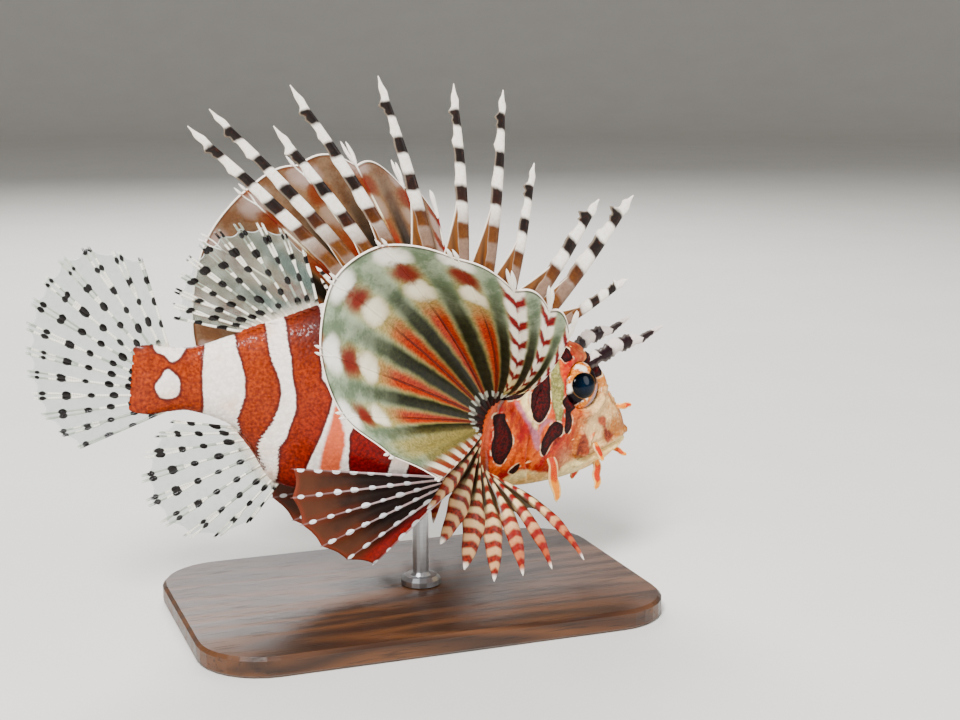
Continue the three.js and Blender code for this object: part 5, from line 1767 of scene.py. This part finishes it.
def leaf_finish(name, bands, pale, deep, tip, rim, phase=None, low=-1.0):
    """Bands along a leaf. Up to the share low, its lower half is deep all along."""
    f = Finish(name, **FLESH)
    share, off = f.numbers("share", "off")
    fine = f.noise(0.6, 3, 3)
    start = f.chance(f.number("ray")) if phase is None else phase
    wave = (share * bands + abs(off) * 0.12 + (fine - 0.5) * 0.08 + start).fraction()
    band = wave.rise(0.42, 0.5) * wave.rise(1.0, 0.92)
    band = band.high(share.rise(low, low - 0.08) * (off + (fine - 0.5) * 0.5).rise(0.35, 0.0))
    f.colour = f.mix(band, pale, deep)
    f.lay(share.rise(0.93, 0.99), tip)
    f.lay(abs(off).rise(0.5, 0.95) * rim, tip)
    f.bump(fine * 0.6 + (share * 60).sine() * 0.15, 0.15)
    return f.wear(Roughness=fine * 0.25 + 0.36, Coat_Weight=fine * 0.2 + 0.1)


tentacle_paint = leaf_finish("tentacle_bands", 3.85, "d8ccc4", "16060a", "e6dace", 0.1, 0.5, 0.42)
leaf_paint = leaf_finish("cheek_leaf", 1.0, "e08a2c", "b23a04", "f6dca0", 0.75)
for name, side in SIDES.items():
    root = on_skin(TENTACLE_AT, TENTACLE_UP, side)
    ways = np.stack([heading(TENTACLE_AT, 1, 0, 0), heading(TENTACLE_AT, 0, side, 0),
                     heading(TENTACLE_AT, 0, 0, 1)])
    line = smooth_line(root + np.array(TENTACLE_STEPS) @ ways, 120)
    form = leaf(line, ways[2], 4.5, 4.5, 0.35, 1.8, pinch=0.28, slim=0.45, ragged=0.13)
    tentacle = make_piece(f"tentacle_leaf_{name}", *thin_sheet(*form), tentacle_paint)
    print(name, "tentacle", dress(tentacle, "tentacle", f"tentacle_{name}"), "triangles")

LEAVES = [
    (24.6, -9.6, (0.3, 0.2, -1), (1, 0, 0), 12.5, 3.4, 1.6),
    (5.2, 5.4, (0.8, 0.8, 0.45), (0, 0, 1), 4.4, 1.9, 1.5),
    (11.5, -4.4, (0.3, 0.9, -1), (1, 0, 0), 6, 2.5, 1.8),
    (7.6, -9, (0.1, 0.2, -1), (1, 0, 0), 8.5, 2.9, 2.2),
    (2.4, -5.4, (1, 0.5, -0.35), (0, 0, 1), 4.2, 1.6, 1.5),
]
parts = Parts()
for side in (RIGHT, LEFT):
    for k, (at, up, hang, flat, length, width, lobes) in enumerate(LEAVES):
        root = on_skin(at, up, side, 0.6)
        way = heading(at, hang[0], side * hang[1], hang[2])
        steps = np.linspace(-0.06, 1, 34)[:, None]
        sway = heading(at, 0.5, side * 0.6, 0) * np.sin(steps * 2.6) * length * 0.06
        line = root + way * steps * length * 0.93 + sway
        form = leaf(line, heading(at, *flat), width, lobes, 0.21 * k + 0.1 * side, 0.85)
        parts.add(*thin_sheet(*form))
print("leaves", dress(parts.piece("head_leaves", leaf_paint), "head"), "triangles")

# %% [markdown]
# Small thorns stand on the bones of the head. The swept rods serve here as well, because
# a thorn is a short rod that tapers to a point.

# %% Thorns of the head
THORNS = [
    (9, 7.4, 2.2, 0.6, -0.2, 1), (15.4, 15.2, 2.6, 0.8, -0.6, 1), (26.5, 16, 3, 0.9, -1.4, 0.8),
    (27.5, 2.4, 2.8, 0.8, -1.6, 0.1), (13, -2, 2.6, 0.8, -0.2, -1.2),
    (31.4, -4, 2.8, 0.8, -1.5, -0.3), (29.6, -11, 2.6, 0.8, -1.2, -0.8),
    (22.5, 17.4, 2.0, 0.6, -1.2, 0.8), (18.4, -3.6, 1.8, 0.5, -0.9, -0.9),
    (30.6, 14.6, 2.2, 0.6, -1.5, 0.5), (23.6, -4.6, 1.8, 0.5, -1.2, -0.6),
]
strands = []
for side in (RIGHT, LEFT):
    for at, up, length, width, ahead, rise in THORNS:
        steps = np.linspace(0, 1, 12)
        way = heading(at, ahead, side * 0.75, rise)
        curve = heading(at, -1, 0, 0) * length * 0.18
        line = on_skin(at, up, side, 0.7) + way * steps[:, None] * length
        line = line + curve * steps[:, None] ** 2
        strands.append((line, width * 0.9 * (1 - steps**1.3 * 0.93), {"share": steps}))
f = Finish("head_thorn", Coat_Roughness=0.15, Specular_IOR_Level=0.45)
fine = f.noise(0.5, 3, 3)
f.colour = f.mix(fine, "a8461e", "d88448")
f.lay(f.number("share").rise(0.3, 0.9), "e8b888")
f.bump(fine, 0.1)
thorns = rods("head_thorns", strands, f.wear(Roughness=fine * 0.2 + 0.3), sides=8)
print("thorns", dress(thorns, "head"), "triangles")

# %% [markdown]
# The stand is plain, so that the fish is what one sees: a dark oiled board with rounded
# corners and one brushed steel rod. Both solids keep their shape and only get a finish.

# %% Stand
f = Finish("oiled_board", Coat_Roughness=0.25, Coat_Weight=0.15, Specular_IOR_Level=0.4)
rings = f.noise(26, 2, 3, (0.22, 1.6, 2.4))
grain = (rings * 34 + f.noise(5, 3, 1, (0.15, 1, 1)) * 2.4).sine() * 0.5 + 0.5
pores = f.noise(0.55, 2, 7, (0.06, 1, 1)).rise(0.55, 0.7)
f.colour = f.mix(grain * 0.8, "2c1a10", "5b3a24")
f.lay(f.noise(30, 2).rise(0.4, 0.7) * 0.35, "3a2115")
f.lay(pores * 0.6, "160c07")
f.bump(pores * -0.6 + grain * 0.25, 0.08)
board = f.wear(Roughness=grain * 0.12 + 0.36 + pores * 0.12)

f = Finish("brushed_rod", Metallic=1.0)
lines_round = f.noise(0.5, 2, 2, (0.05, 0.05, 1))
smudge = f.noise(6, 3, 4)
f.colour = f.mix(lines_round, "a8aaad", "c6c8ca")
f.bump(lines_round, 0.006)
steel = f.wear(Roughness=lines_round * 0.1 + smudge.rise(0.4, 0.7) * 0.06 + 0.26)
for node, finish in (("stand_base", board), ("stand_rod", steel)):
    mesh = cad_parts[node].data
    mesh.materials.clear()
    mesh.materials.append(finish)
print("board and rod have", len(board.node_tree.nodes), "and", len(steel.node_tree.nodes), "nodes")

# %% [markdown]
# The fish must stay inside the box of its solids. Both boxes are printed below.

# %% Sizes
low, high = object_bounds()
for label, *row in zip("xyz", cad_low, cad_high, low, high):
    print(label, "solids from, to, dressed from, to:", [round(v / MM, 1) for v in row])
